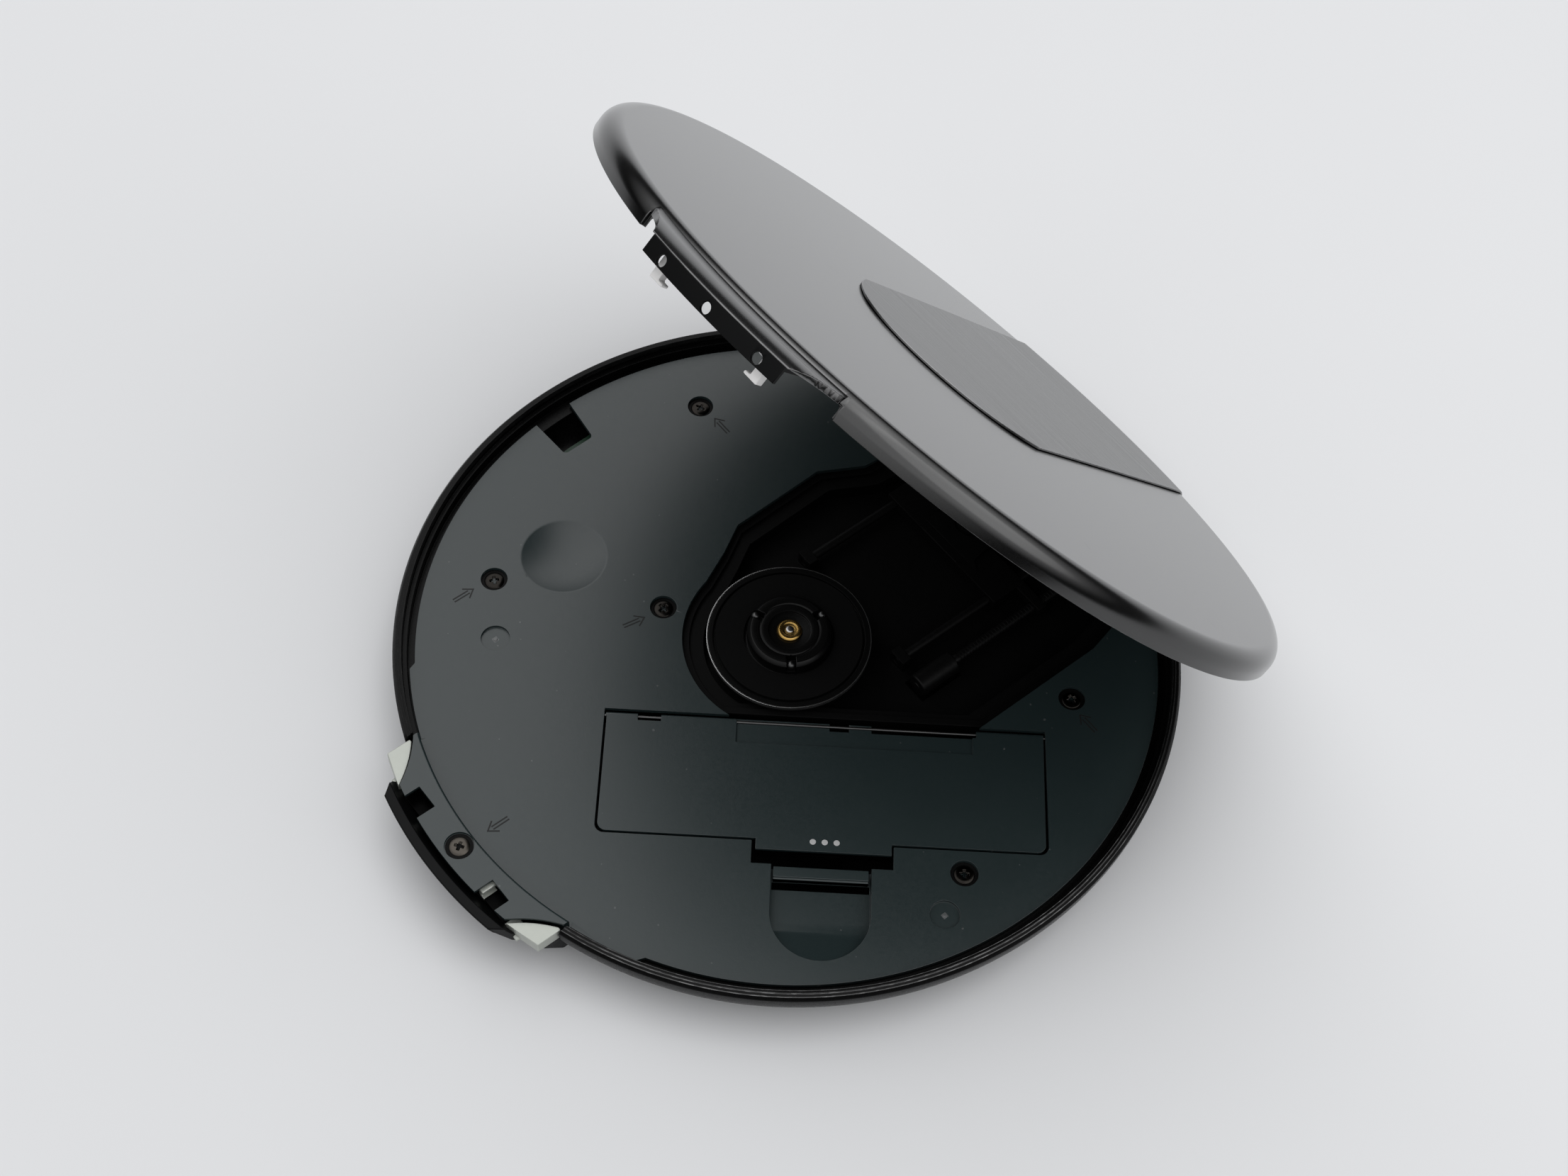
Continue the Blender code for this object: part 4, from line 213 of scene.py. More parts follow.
def brick(name, low, high):
    """A block between two corners, from a cube."""
    let_go()
    size = Vector(high) - Vector(low)
    bpy.ops.mesh.primitive_cube_add(size=MM)
    made = called(bpy.context.object, name)
    edit(made)
    bpy.ops.transform.resize(value=size)
    bpy.ops.transform.translate(value=(Vector(low) + size / 2) * MM)
    let_go()
    return made


def across(name, section, left, right):
    """A section (y, z) carried along X."""
    return thickened(name, [(left, y, z) for y, z in section], (right - left, 0, 0))


def pin(name, radius, start, end, steps=32):
    """A round bar between two places, from a cylinder."""
    let_go()
    start, end = Vector(start), Vector(end)
    bpy.ops.mesh.primitive_cylinder_add(vertices=steps, radius=radius * MM,
                                        depth=(end - start).length * MM)
    made = called(bpy.context.object, name)
    return moved(made, shift((start + end) / 2) @ leaned(end - start))


# %% [markdown]
# Cuts and joins are Boolean modifiers that are applied at once, and soft edges are a Bevel
# modifier held to sharp angles. Weighted normals then keep the wide flat faces flat beside
# the small rounded edges.

# %% Cutting, joining and easing edges
def modify(thing, kind, **settings):
    """Give an object one modifier and apply it at once."""
    hold(thing)
    bpy.ops.object.modifier_add(type=kind)
    step = thing.modifiers[-1]
    for key, value in settings.items():
        setattr(step, key, value)
    bpy.ops.object.modifier_apply(modifier=step.name)


def combine(body, tool, how):
    modify(body, "BOOLEAN", operation=how, solver="EXACT", object=tool)
    bpy.data.objects.remove(tool)


def cut(body, *tools):
    for tool in tools:
        combine(body, tool, "DIFFERENCE")


def join(body, *tools):
    for tool in tools:
        combine(body, tool, "UNION")


def keep(body, tool):
    combine(body, tool, "INTERSECT")


def smooth(thing, angle=32.0):
    hold(thing)
    bpy.ops.object.shade_smooth_by_angle(angle=radians(angle))
    modify(thing, "WEIGHTED_NORMAL", keep_sharp=True)
    let_go()


def ease(thing, width, angle=40.0, segments=2):
    """Round every edge sharper than an angle by a small width, then smooth the shading."""
    turn_outwards(thing)
    modify(thing, "BEVEL", width=width * MM, segments=segments, limit_method="ANGLE",
           angle_limit=radians(angle), use_clamp_overlap=False, miter_outer="MITER_ARC")
    smooth(thing)


def copied(node, name, width):
    """A welded copy of a CAD node with its flat faces made whole and its edges eased."""
    made = bpy.data.objects.new(name, nodes[node].data.copy())
    made.data.name = name
    bpy.context.scene.collection.objects.link(made)
    made.data.materials.clear()
    edit(made)
    bpy.ops.mesh.remove_doubles(threshold=MERGE)
    bpy.ops.mesh.select_all(action="SELECT")
    bpy.ops.mesh.dissolve_limited(angle_limit=radians(1), use_dissolve_boundaries=False)
    let_go()
    ease(made, width)
    return made


print("cutting and easing helpers are ready")

# %% Arcs, and arcs across the front
def sweep(x, y, radius, start, end, steps):
    """Places on an arc, angles in degrees."""
    angles = [radians(start + (end - start) * index / steps) for index in range(steps + 1)]
    return [(x + radius * cos(angle), y + radius * sin(angle)) for angle in angles]


def half_angle(side, radius):
    """The angle in degrees at which a circle is a distance out to the side."""
    return degrees(asin(side / radius))


def front_edge(radius, side, steps, middle=0.0):
    """The front of a circle seen from above, from one side to the other."""
    half = half_angle(side, radius)
    return sweep(0, middle, radius, -90 - half, -90 + half, steps)


def front_turned(name, profile, half, steps):
    """A profile spun across the front only, by half an angle to each side."""
    return turned(name, profile, steps, -90 - half, -90 + half)


print("10 mm out to the side on a circle of 20 mm is", round(half_angle(10, 20)), "degrees")

# %% [markdown]
# A material here is a small graph. The `Wire` class wraps a socket so that ordinary Python
# sums add Math nodes, and `Finish.node` adds any other node from its type, its settings and
# its inputs. Patterns read Object coordinates, which are metres on the player itself, so
# they stay put when a part moves.

# %% Shader arithmetic
class Wire:
    """A socket that can be added, multiplied and compared like a number."""

    def __init__(self, finish, socket):
        self.finish = finish
        self.socket = socket

    def maths(self, operation, *values):
        inputs = dict(enumerate(values))
        return self.finish.node("ShaderNodeMath", {"operation": operation}, inputs)

    def __add__(self, other):
        return self.maths("ADD", self, other)

    def __radd__(self, other):
        return self.maths("ADD", other, self)

    def __sub__(self, other):
        return self.maths("SUBTRACT", self, other)

    def __rsub__(self, other):
        return self.maths("SUBTRACT", other, self)

    def __mul__(self, other):
        return self.maths("MULTIPLY", self, other)

    def __rmul__(self, other):
        return self.maths("MULTIPLY", other, self)

    def __gt__(self, other):
        return self.maths("GREATER_THAN", self, other)

    def __lt__(self, other):
        return self.maths("LESS_THAN", self, other)

    def __abs__(self):
        return self.maths("ABSOLUTE", self)


class Finish:
    """A Principled material and the nodes that feed it."""

    def __init__(self, name, metallic=0.0, coat=0.0, specular=0.5):
        self.material = bpy.data.materials.new(name)
        self.material.use_nodes = True
        self.tree = self.material.node_tree
        self.shader = self.tree.nodes["Principled BSDF"]
        self.shader.inputs["Metallic"].default_value = metallic
        self.shader.inputs["Coat Weight"].default_value = coat
        self.shader.inputs["Coat Roughness"].default_value = 0.25
        self.shader.inputs["Specular IOR Level"].default_value = specular
        self.place = self.node("ShaderNodeTexCoord", {}, {}, "Object")

    def node(self, kind, settings, inputs, out=0):
        """Add a node: its type, its settings, its inputs and the output that is wanted."""
        made = self.tree.nodes.new(kind)
        stops = settings.pop("stops", None)
        for key, value in settings.items():
            setattr(made, key, value)
        if stops:
            for index, (spot, value) in enumerate(stops):
                if index > 1:
                    made.color_ramp.elements.new(spot)
                made.color_ramp.elements[index].position = spot
                made.color_ramp.elements[index].color = (value, value, value, 1)
        for key, value in inputs.items():
            self.feed(made.inputs[key], value)
        return Wire(self, made.outputs[out])

    def feed(self, socket, value):
        if isinstance(value, Wire):
            self.tree.links.new(value.socket, socket)
        else:
            socket.default_value = value

    def noise(self, scale, detail, where=None, stretch=None):
        """Cloudy values from 0 to 1; stretch squeezes the pattern along each axis."""
        where = where or self.place
        if stretch:
            where = self.node("ShaderNodeMapping", {}, {"Vector": where, "Scale": stretch})
        return self.node("ShaderNodeTexNoise", {},
                         {"Vector": where, "Scale": scale, "Detail": detail}, "Fac")

    def steps(self, value, *stops):
        """Send a value through a ramp of (spot, level) stops."""
        return self.node("ShaderNodeValToRGB", {"stops": list(stops)}, {"Fac": value})

    def mix(self, share, first, second):
        """A colour between two colours."""
        return self.node("ShaderNodeMix", {"data_type": "RGBA"},
                         {0: share, 6: first, 7: second}, 2)

    def clouded(self, pattern, first, second):
        """Two colours that follow a cloudy pattern."""
        return self.mix(self.steps(pattern, (0.3, 0), (0.7, 1)), first, second)

    def edges(self, radius, gain=5.0):
        """1 on rounded and sharp edges, 0 on the flats, from the Bevel node."""
        rounded = self.node("ShaderNodeBevel", {"samples": 4}, {"Radius": radius * MM})
        flat = self.node("ShaderNodeNewGeometry", {}, {}, "Normal")
        same = self.node("ShaderNodeVectorMath", {"operation": "DOT_PRODUCT"},
                         {0: rounded, 1: flat}, "Value")
        return self.clamped((1 - same) * gain)

    def clamped(self, value):
        return self.node("ShaderNodeClamp", {}, {0: value})

    def parts(self, where):
        """The x, y and z of a place."""
        split = self.node("ShaderNodeSeparateXYZ", {}, {0: where})
        return [Wire(self, split.socket.node.outputs[axis]) for axis in "XYZ"]

    def from_axis(self, x, y):
        """How far a place lies from the player's axis."""
        level = self.node("ShaderNodeCombineXYZ", {}, {0: x, 1: y})
        return self.node("ShaderNodeVectorMath", {"operation": "LENGTH"}, {0: level}, "Value")

    def bump(self, height, distance):
        raised = self.node("ShaderNodeBump", {},
                           {"Strength": 1.0, "Distance": distance * MM, "Height": height})
        self.feed(self.shader.inputs["Normal"], raised)

    def wear(self, colour, rough):
        self.feed(self.shader.inputs["Base Color"], colour)
        self.feed(self.shader.inputs["Roughness"], rough)


SPREAD = 0.12


def grey(level, warmth=0.0):
    """A neutral colour, leaning warm or cool."""
    return (level * (1 + warmth), level, level * (1 - warmth), 1)


def plain_finish(name, colour, rough, worn, metallic=0.0, coat=0.0, specular=0.5,
                 depth=0.004, edge=0.15):
    """One finish with the detail that every moulded or machined surface has.

    Broad clouds vary the colour, a fine grain varies gloss and height, and edges are rubbed
    towards the worn colour.
    """
    made = Finish(name, metallic, coat, specular)
    clouds = made.noise(45, 4)
    fine = made.noise(900, 2)
    darker, lighter = [tuple(part * share for part in colour[:3]) + (1,)
                       for share in (1 - SPREAD, 1 + SPREAD)]
    base = made.clouded(clouds, darker, lighter)
    rubbed = made.edges(edge) * made.steps(made.noise(260, 3), (0.35, 0), (0.7, 1))
    gloss = rough + (fine - 0.5) * 0.12 + (clouds - 0.5) * 0.1 - rubbed * 0.08
    made.wear(made.mix(rubbed * 0.7, base, worn), gloss)
    made.bump(fine, depth)
    return made


finishes = {
    "steel": plain_finish("bright_steel", grey(0.58, 0.01), 0.28, grey(0.8), metallic=1.0),
    "brass": plain_finish("turned_brass", (0.66, 0.42, 0.13, 1), 0.27, (0.9, 0.7, 0.36, 1),
                          metallic=1.0),
    "black": plain_finish("moulded_black", grey(0.003, -0.05), 0.36, grey(0.012), specular=0.1),
    # Partly painted shade: the black plastic inside the player and the lid is made darker and
    # duller than the outer black, because it lies in shade.
    "inner": plain_finish("inner_black_and_painted_shade", grey(0.0015), 0.55, grey(0.003), specular=0.1),
    # Painted shade: near-black metal for the steel rods, feed screw, motors and pickup cover,
    # far darker than their real bright steel, because they lie in shade under the lid.
    "painted_shade_steel": plain_finish("steel_painted_dark_as_shade", grey(0.02), 0.5, grey(0.05), metallic=1.0),
    "milky": plain_finish("milky_claws", (0.9, 0.89, 0.88, 1), 0.38, grey(0.95), coat=0.2),
    "rubber": plain_finish("soft_rubber", grey(0.003), 0.8, grey(0.006), depth=0.01,
                           specular=0.08),
    "board": plain_finish("green_board", (0.004, 0.03, 0.013, 1), 0.5, (0.05, 0.04, 0.02, 1)),
    "wrap": plain_finish("cell_sleeve", (0.30, 0.31, 0.33, 1), 0.32, grey(0.6), metallic=0.5),
    "screw": plain_finish("bronze_screw", (0.07, 0.063, 0.055, 1), 0.3, grey(0.4, 0.08),
                          metallic=1.0, edge=0.12),
    "black_screw": plain_finish("black_screw", grey(0.02, 0.1), 0.24, grey(0.3, 0.08),
                                metallic=1.0, edge=0.12),
}
print("plain finishes:", sorted(finishes))

# %% [markdown]
# ## The lid
# The real lid is a pressed metal dish with satin paint. Its edge rolls down in one smooth
# quarter round to a short skirt, and a thin lip stands out at the front. The dish is a single
# profile spun about the player's axis, which gives the roll its even highlight. The lip is a
# second profile, spun across the front only, trimmed by a flat outline and joined to the
# dish. The lid is modelled shut, where every radius is measured from the player's axis, and
# then swung open about the hinge. `BODY` is the player's radius, and `LID` is the height of
# the shut lid's lower edge. `FAR` lies outside the player on every side.

# %% The lid's own line
BODY = 65.8
LID = 11.4
ROLL = 2.85
SKIRT = 1.285
CROWN = ((50.0, 0.06), (35.0, 0.115), (17.0, 0.15), (0, 0.165))
LID_WALL = 0.9
HINGE = Vector((0, 64.05, 3.54))
LID_SWING = radians(-47.74)
FAR = 75.0


def lid_line(offset, lift=0.0):
    """The lid's outer line moved out by an offset, from the skirt to the centre."""
    reach = ROLL + offset
    rolled = sweep(BODY - ROLL, LID + SKIRT, reach, 0, 90, 14)
    crown = [(radius, LID + SKIRT + reach + rise) for radius, rise in CROWN]
    return [(BODY + offset, LID + lift)] + rolled + crown


opening = shift(HINGE) @ Matrix.Rotation(LID_SWING, 4, "X") @ shift(-HINGE)
print("the lid is", round(lid_line(0)[-1][1] - LID, 2), "mm high at its middle")

# %% Lid shell
GAP = 20.4
LIP_TIP, LIP_FOOT, LIP_ROOT = 69.9, 66.5, 63.8
TIP_SIDE, ROOT_SIDE = 14.2, 19.8
FLANK_HOLLOW = 0.6
LIP_UNDER, LIP_OVER = LID + 2.1, LID + 3.15
LIP_HOLLOW = 4.7
LIP_TURN = 28.3

lid = turned("lid_skin", lid_line(-LID_WALL)[::-1] + lid_line(0), 256)
cut(lid, brick("front_gap", (-GAP, -FAR, LID - 2), (GAP, -61.8, LID + 2.3)))
outline = front_edge(LIP_TIP, TIP_SIDE, 40)
corner = Vector(outline[-1])
foot = Vector((ROOT_SIDE, -sqrt(BODY ** 2 - ROOT_SIDE ** 2)))
flank = []
for step in range(1, 13):
    share = step / 12
    spot = corner.lerp(foot, share)
    flank.append(tuple(spot - spot.normalized() * FLANK_HOLLOW * sin(pi * share)))
outline += flank + front_edge(LIP_ROOT, -ROOT_SIDE, 40)
outline += [(-x, y) for x, y in reversed(flank)]
profile = [(LIP_ROOT - 0.1, LIP_UNDER), (LIP_TIP, LIP_UNDER)]
for step in range(11):
    share = 1 - step / 11
    profile.append((LIP_FOOT + (LIP_TIP - LIP_FOOT) * share,
                    LIP_OVER - 0.3 * share - 0.65 * share ** 2))
profile += sweep(LIP_FOOT, LIP_OVER + LIP_HOLLOW, LIP_HOLLOW, 270, 270 - LIP_TURN, 8)
profile.append((LIP_ROOT - 0.1, LID + 4.0))
lip = front_turned("lip", profile, half_angle(ROOT_SIDE, LIP_ROOT), 96)
keep(lip, slab("lip_outline", outline, LID, LID + 6))
join(lid, lip)
ease(lid, 0.1, angle=34)
moved(lid, opening)
print("lid shell:", len(lid.data.polygons), "faces")

# %% [markdown]
# A thin brushed plate is let into the rear half of the lid and follows its curve over the
# edge. On the real player it carries printing, so here it stays bare and only its brushing,
# its curved front edge and its bright rim are made. It is a slice of the lid's own profile,
# a little further out, trimmed by a flat outline.

# %% Emblem plate
EMBLEM_SIDE = 20.4
EMBLEM_FRONT, EMBLEM_CORNERS = -16.8, -3.0

emblem = turned("bare_plate", lid_line(0.1, 0.6)[::-1] + lid_line(0.45, 0.6), 256)
dip = EMBLEM_CORNERS - EMBLEM_FRONT
curve = (EMBLEM_SIDE ** 2 + dip ** 2) / (2 * dip)
outline = front_edge(curve, EMBLEM_SIDE, 48, curve + EMBLEM_FRONT)
outline += [(EMBLEM_SIDE, FAR), (-EMBLEM_SIDE, FAR)]
keep(emblem, slab("trim", outline, LID - 2, LID + 7))
ease(emblem, 0.06, segments=1)
moved(emblem, opening)
print("emblem plate:", len(emblem.data.polygons), "faces")

# %% [markdown]
# Under the lip hangs a black strip with three round holes, and behind it two milky claws
# that the release levers catch. The strip is a bent section spun through a small angle, cut
# square at its ends.

# %% Latch strip and claws
SIDES = ("left", "right")
STRIP_SIDE = 13.75
STRIP_BACK, STRIP_INNER = 62.5, 69.3
STRIP_FOOT, STRIP_FOLD, STRIP_TOP = LID - 0.65, LID + 1.36, LID + 2.06
HOLES = (-9.97, 0, 9.97)
HOLE_HEIGHT = LID + 0.36

section = [(STRIP_BACK, STRIP_FOLD), (STRIP_INNER, STRIP_FOLD), (STRIP_INNER, STRIP_FOOT),
           (LIP_TIP, STRIP_FOOT), (LIP_TIP, STRIP_TOP), (STRIP_BACK, STRIP_TOP)]
strip = front_turned("holed_strip", section, half_angle(STRIP_SIDE, STRIP_BACK), 48)
keep(strip, brick("ends", (-STRIP_SIDE, -FAR, LID - 2), (STRIP_SIDE, -60.0, LID + 4)))
for x in HOLES:
    cut(strip, pin("hole", 0.85, (x, -FAR, HOLE_HEIGHT), (x, -66.7, HOLE_HEIGHT)))
ease(strip, 0.07)
moved(strip, opening)
claws = [copied(f"latch_claw_{side}", f"claw_{side}", 0.2) for side in SIDES]
print("strip and claws:", len(strip.data.polygons), [len(c.data.polygons) for c in claws])

# %% [markdown]
# The inside of the lid is a black moulded liner with two low rings that keep the disc down,
# and a sheet steel bracket whose two arms reach into the hinge.

# %% Lid liner and hinge bracket
bottom, ring, top = LID + 1.5, LID + 0.9, LID + 2.3
LINER_EDGE = 64.2
profile = [(0, bottom)]
for inner, outer in ((10.5, 12.5), (56.0, 57.2)):
    profile += [(inner, bottom), (inner, ring), (outer, ring), (outer, bottom)]
profile += [(LINER_EDGE, bottom), (LINER_EDGE, top), (0, top)]
liner = turned("lid_lining", profile)
room = [(62.1, ring - 2), (BODY, ring - 2), (BODY, top + 2), (62.1, top + 2)]
cut(liner, front_turned("front_room", room, half_angle(GAP, 62.1), 24))
cut(liner, brick("bracket_room", (-16.3, 56.0, ring - 2), (16.3, BODY, top + 2)))
ease(liner, 0.15)
moved(liner, opening)
bracket = copied("hinge_bracket", "folded_bracket", 0.08)
print("liner:", len(liner.data.polygons), "faces")

# %% [markdown]
# ## The base
# The base is a shallow black bowl. Its side is a quarter of an ellipse, and its rim has a
# raised inner lip, a small step and a chamfer that catches light. The whole bowl is one
# profile, spun. The front block, the hinge block and the screw posts are joined to it, and
# the windows for the buttons, the jacks and the hinge arms are cut out.

# %% Base bowl
RIM = 11.0
LEDGE = 7.2
SOLE = 54.0
SIDE_HEIGHT = 9.5
FRONT_LINE = ((66.6, 2.5), (69.6, 6.6), (71.5, 9.6), (72.0, 10.6))
NOSE, NOSE_SIDE = 70.0, 15.6
BLOCK_SIDE, BLOCK_BACK = 20.6, -58.5


def lean_in(inset):
    """The front's outer line, which leans in towards the table, moved in by an inset."""
    return [(radius - inset, height) for radius, height in FRONT_LINE]


profile = [(0, 0)]
for step in range(17):
    angle = pi / 2 * step / 16
    profile.append((SOLE + (BODY - SOLE) * sin(angle), SIDE_HEIGHT * (1 - cos(angle))))
profile += [(BODY, 10.15), (65.35, 10.75), (65.15, 10.75), (64.75, 10.8), (64.75, RIM),
            (64.25, RIM), (64.25, 9.2), (63.5, 9.2), (63.5, LEDGE), (61.0, LEDGE), (61.0, 6.4),
            (63.6, 6.4), (62.4, 4.2), (60.6, 2.6), (57.3, 1.4), (0, 1.4)]
bowl = turned("bowl", profile, 256)
cut(bowl, brick("front_gap", (-21.2, -FAR, LEDGE), (21.2, BLOCK_BACK, 13)))
outline = front_edge(NOSE, NOSE_SIDE, 32) + [(BLOCK_SIDE, -65.2), (BLOCK_SIDE, BLOCK_BACK),
                                             (-BLOCK_SIDE, BLOCK_BACK), (-BLOCK_SIDE, -65.2)]
block = slab("front_block", outline, 2.2, LEDGE)
keep(block, turned("block_lean", [(0, 1), (64.2, 2.0)] + lean_in(1.85)[:3] + [(0, 9.6)]))
join(bowl, block)
print("bowl with its front block:", len(bowl.data.polygons), "faces")

# %% Hinge block, arm slots and pin bore
BARREL = 2.35
ARM_SLOT = 2.3

section = [(61.2, 1.19), (61.2, 9.2), (66.4, 9.2)] + sweep(*HINGE.yz, BARREL, 0, -90, 12)
join(bowl, across("hinge_block", section, -19.5, 19.5))
slot = [(59.8, 13), (59.8, 10.4)] + sweep(*HINGE.yz, ARM_SLOT, 165, 270, 12)
slot += [(FAR, HINGE.z - ARM_SLOT), (FAR, 13)]
for side in (-1, 1):
    cut(bowl, across("arm_slot", slot, *sorted((side * 11.9, side * 15.5))))
cut(bowl, brick("spring_pocket", (-4.2, 62.25, 1.74), (4.2, 65.85, 9.2)))
cut(bowl, pin("pin_bore", 0.75, (-18.8, *HINGE.yz), (22, *HINGE.yz)))
print("bowl with its hinge block:", len(bowl.data.polygons), "faces")

# %% Windows, screw posts and foot seats
SCREWS = ((-47.8, 17.8), (-39.3, -32.7), (-17.6, -13.1), (50.8, -4.9), (37.4, 30.5))
FRONT_SCREW = (0, -66.1)
KEYS = (128, 136, 144, 152)
HOLD = 212
SLACK = 0.3
JACKS = (169, 196)
JACK_INNER, JACK_HEIGHT = 54, 4.3
FEET = (45, 135, 225, 315)
FOOT_RING = 48
SOLE_DROP = Vector((0, 0, -0.4))

for index, (x, y) in enumerate(SCREWS):
    join(bowl, pin("post", 1.6, (x, y, 0.7), (x, y, LEDGE)))
    if index < 2:
        join(bowl, pin("shoulder", 2.6, (x, y, 0.75), (x, y, 3.1)))
windows = [(angle, 2.6, 0.0, 4.0, 6.3) for angle in KEYS] + [(HOLD, 2.0, 2.0, 4.2, 6.4)]
for angle, half, travel, bottom, top in windows:
    section = [(61.5, bottom), (FAR, bottom), (FAR, top), (61.5, top)]
    cut(bowl, turned("window", section, 8, angle - half - degrees(SLACK / BODY),
                     angle + half + degrees((SLACK + travel) / BODY)))
for angle in JACKS:
    way, height = heading(angle), Vector((0, 0, JACK_HEIGHT))
    cut(bowl, pin("jack_hole", 2.3, way * JACK_INNER + height, way * FAR + height, 48))
for angle in FEET:
    x, y = (heading(angle) * FOOT_RING).xy
    cut(bowl, pin("foot_seat", 4.3, (x, y, -2), (x, y, 0.4), 48))
ease(bowl, 0.1, angle=35)
print("finished bowl:", len(bowl.data.polygons), "faces")

# %% [markdown]
# At the front, a black bumper curves round the block with a thin slot behind it, and two
# silver release levers fill the corners. Sliding either lever in frees the claws.

# %% Bumper and release levers
BUMPER = 72.0
BUMPER_SIDE, BUMPER_WALL = 14.4, 1.7

outline = front_edge(BUMPER, BUMPER_SIDE, 40)
outline += [(16.6, -67.8), (16.6, -55.0), (-16.6, -55.0), (-16.6, -67.8)]
section = lean_in(0) + [(BUMPER, RIM), (BUMPER - BUMPER_WALL, RIM)] + lean_in(BUMPER_WALL)[::-1]
bumper = front_turned("bumper", section, 16, 48)
keep(bumper, slab("bumper_outline", outline, 1, RIM + 1))
ease(bumper, 0.25, segments=3)
levers = [copied(f"release_lever_{side}", f"lever_{side}", 0.18) for side in SIDES]
print("bumper and levers:", len(bumper.data.polygons), [len(x.data.polygons) for x in levers])

# %% [markdown]
# ## The floor of the disc well
# One slate-grey plate covers the works. It is flat, steps up over the front block, and has
# openings for the turntable, the pickup and the battery. It starts as a folded strip at the
# front, trimmed and then joined to a flat disc. The openings are cut from it next, and the
# recesses and small holes last. `BELOW` and `ABOVE` are heights clear of the plate.

# %% Axes along the battery bay
FLOOR, UNDER = 8.3, 7.5
BELOW, ABOVE = 5, 13
BAY_TURN = radians(49.5)
BAY = Matrix.Rotation(BAY_TURN, 4, "Z")
BAY_SIDE = 15.6
DOOR_LEFT, DOOR_RIGHT, DOOR_OUT = -29.7, 42.8, 37.9
DOOR_CORNER = 1.5
ROD_OUT, ROD_UP = 16.35, 7.75


def bay_place(along, out):
    """A place along and out of the battery bay, in the player's axes."""
    spot = BAY @ Vector((along, -out, 0))
    return spot.x, spot.y


def bay_brick(name, left, right, inner, outer, bottom, top):
    return moved(brick(name, (left, -outer, bottom), (right, -inner, top)), BAY)


def rod(name, radius, start, end, steps=24):
    """A round bar on the door's hinge line, in the bay's own axes."""
    return pin(name, radius, (start, -ROD_OUT, ROD_UP), (end, -ROD_OUT, ROD_UP), steps)


def door_outline(gap, inner):
    """The battery door from above, along the bay."""
    left, right, low = DOOR_LEFT + gap, DOOR_RIGHT - gap, gap - DOOR_OUT
    line = [(left, -inner), (right, -inner)]
    line += sweep(right - DOOR_CORNER, low + DOOR_CORNER, DOOR_CORNER, 0, -90, 10)
    return line + sweep(left + DOOR_CORNER, low + DOOR_CORNER, DOOR_CORNER, 270, 180, 10)


def corners_rounded(corners, radius, steps=8):
    """An outline with each corner replaced by an arc."""
    line = []
    for index, corner in enumerate(corners):
        corner = Vector(corner)
        before = (Vector(corners[index - 1]) - corner).normalized()
        after = (Vector(corners[(index + 1) % len(corners)]) - corner).normalized()
        half = acos(before.dot(after)) / 2
        middle = corner + (before + after).normalized() * (radius / sin(half))
        reach = radius * cos(half) / sin(half)
        start, end = corner + before * reach - middle, corner + after * reach - middle
        for step in range(steps + 1):
            line.append(tuple(middle + start.lerp(end, step / steps).normalized() * radius))
    return line


print("bay corner:", bay_place(DOOR_LEFT, DOOR_OUT))

# %% Floor plate: strip and disc
STEP_SIDE, STEP_FACE = 20.8, 63.4
STEP_ROUND = 0.45
STEP_UNDER = 10.4
DISC, DISC_SEAT = 63.2, 62.3

section = [(DISC_SEAT, UNDER), (64.2, UNDER), (64.2, STEP_UNDER), (69.15, STEP_UNDER),
           (69.15, RIM)]
section += sweep(STEP_FACE + STEP_ROUND, RIM - STEP_ROUND, STEP_ROUND, 90, 180, 6)
section += [(STEP_FACE, FLOOR), (DISC_SEAT, FLOOR)]
plate = front_turned("well_floor", section, half_angle(STEP_SIDE, STEP_FACE), 64)
for side in (-1, 1):
    left, right = sorted((side * STEP_SIDE, side * 70))
    cut(plate, brick("end", (left, -FAR, BELOW), (right, -56.5, ABOVE)))
    scoop = (side * 33.0, -78.5)
    cut(plate, pin("scoop", 21.4, (*scoop, FLOOR), (*scoop, ABOVE), 160))
    left, right = sorted((side * 8.0, side * 12.4))
    cut(plate, brick("latch_hole", (left, -70.0, FLOOR), (right, -65.3, ABOVE)))
left, right = -90 - half_angle(33.0, DISC), half_angle(31.3, DISC) - 90
edge = sweep(0, 0, DISC, left, right, 60) + sweep(0, 0, DISC_SEAT, right + 1, left + 359, 200)
join(plate, slab("disc", edge, UNDER, FLOOR))
print("floor strip and disc:", len(plate.data.polygons), "faces")

# %% Floor plate: openings
FINGER, FINGER_END, FINGER_BACK = 6.6, -50.0, -41.0
FINGER_RADIUS = 7.95
FINGER_FLOOR = 6.4
WELL, WELL_RIGHT, WELL_BACK = 17.9, 32.4, 60.0
NOTCH = ((-64.0, -8.3), (-53.6, -7.8), (-53.8, -1.7), (-64.0, -0.5))


def recess_outline(offset):
    """The finger recess behind the battery latch, a slot with a round end."""
    reach, back = FINGER_RADIUS + offset, FINGER_BACK + offset
    round_end = sweep(FINGER, FINGER_END, reach, 180, 360, 40)
    return [(FINGER - reach, back)] + round_end + [(FINGER + reach, back)]


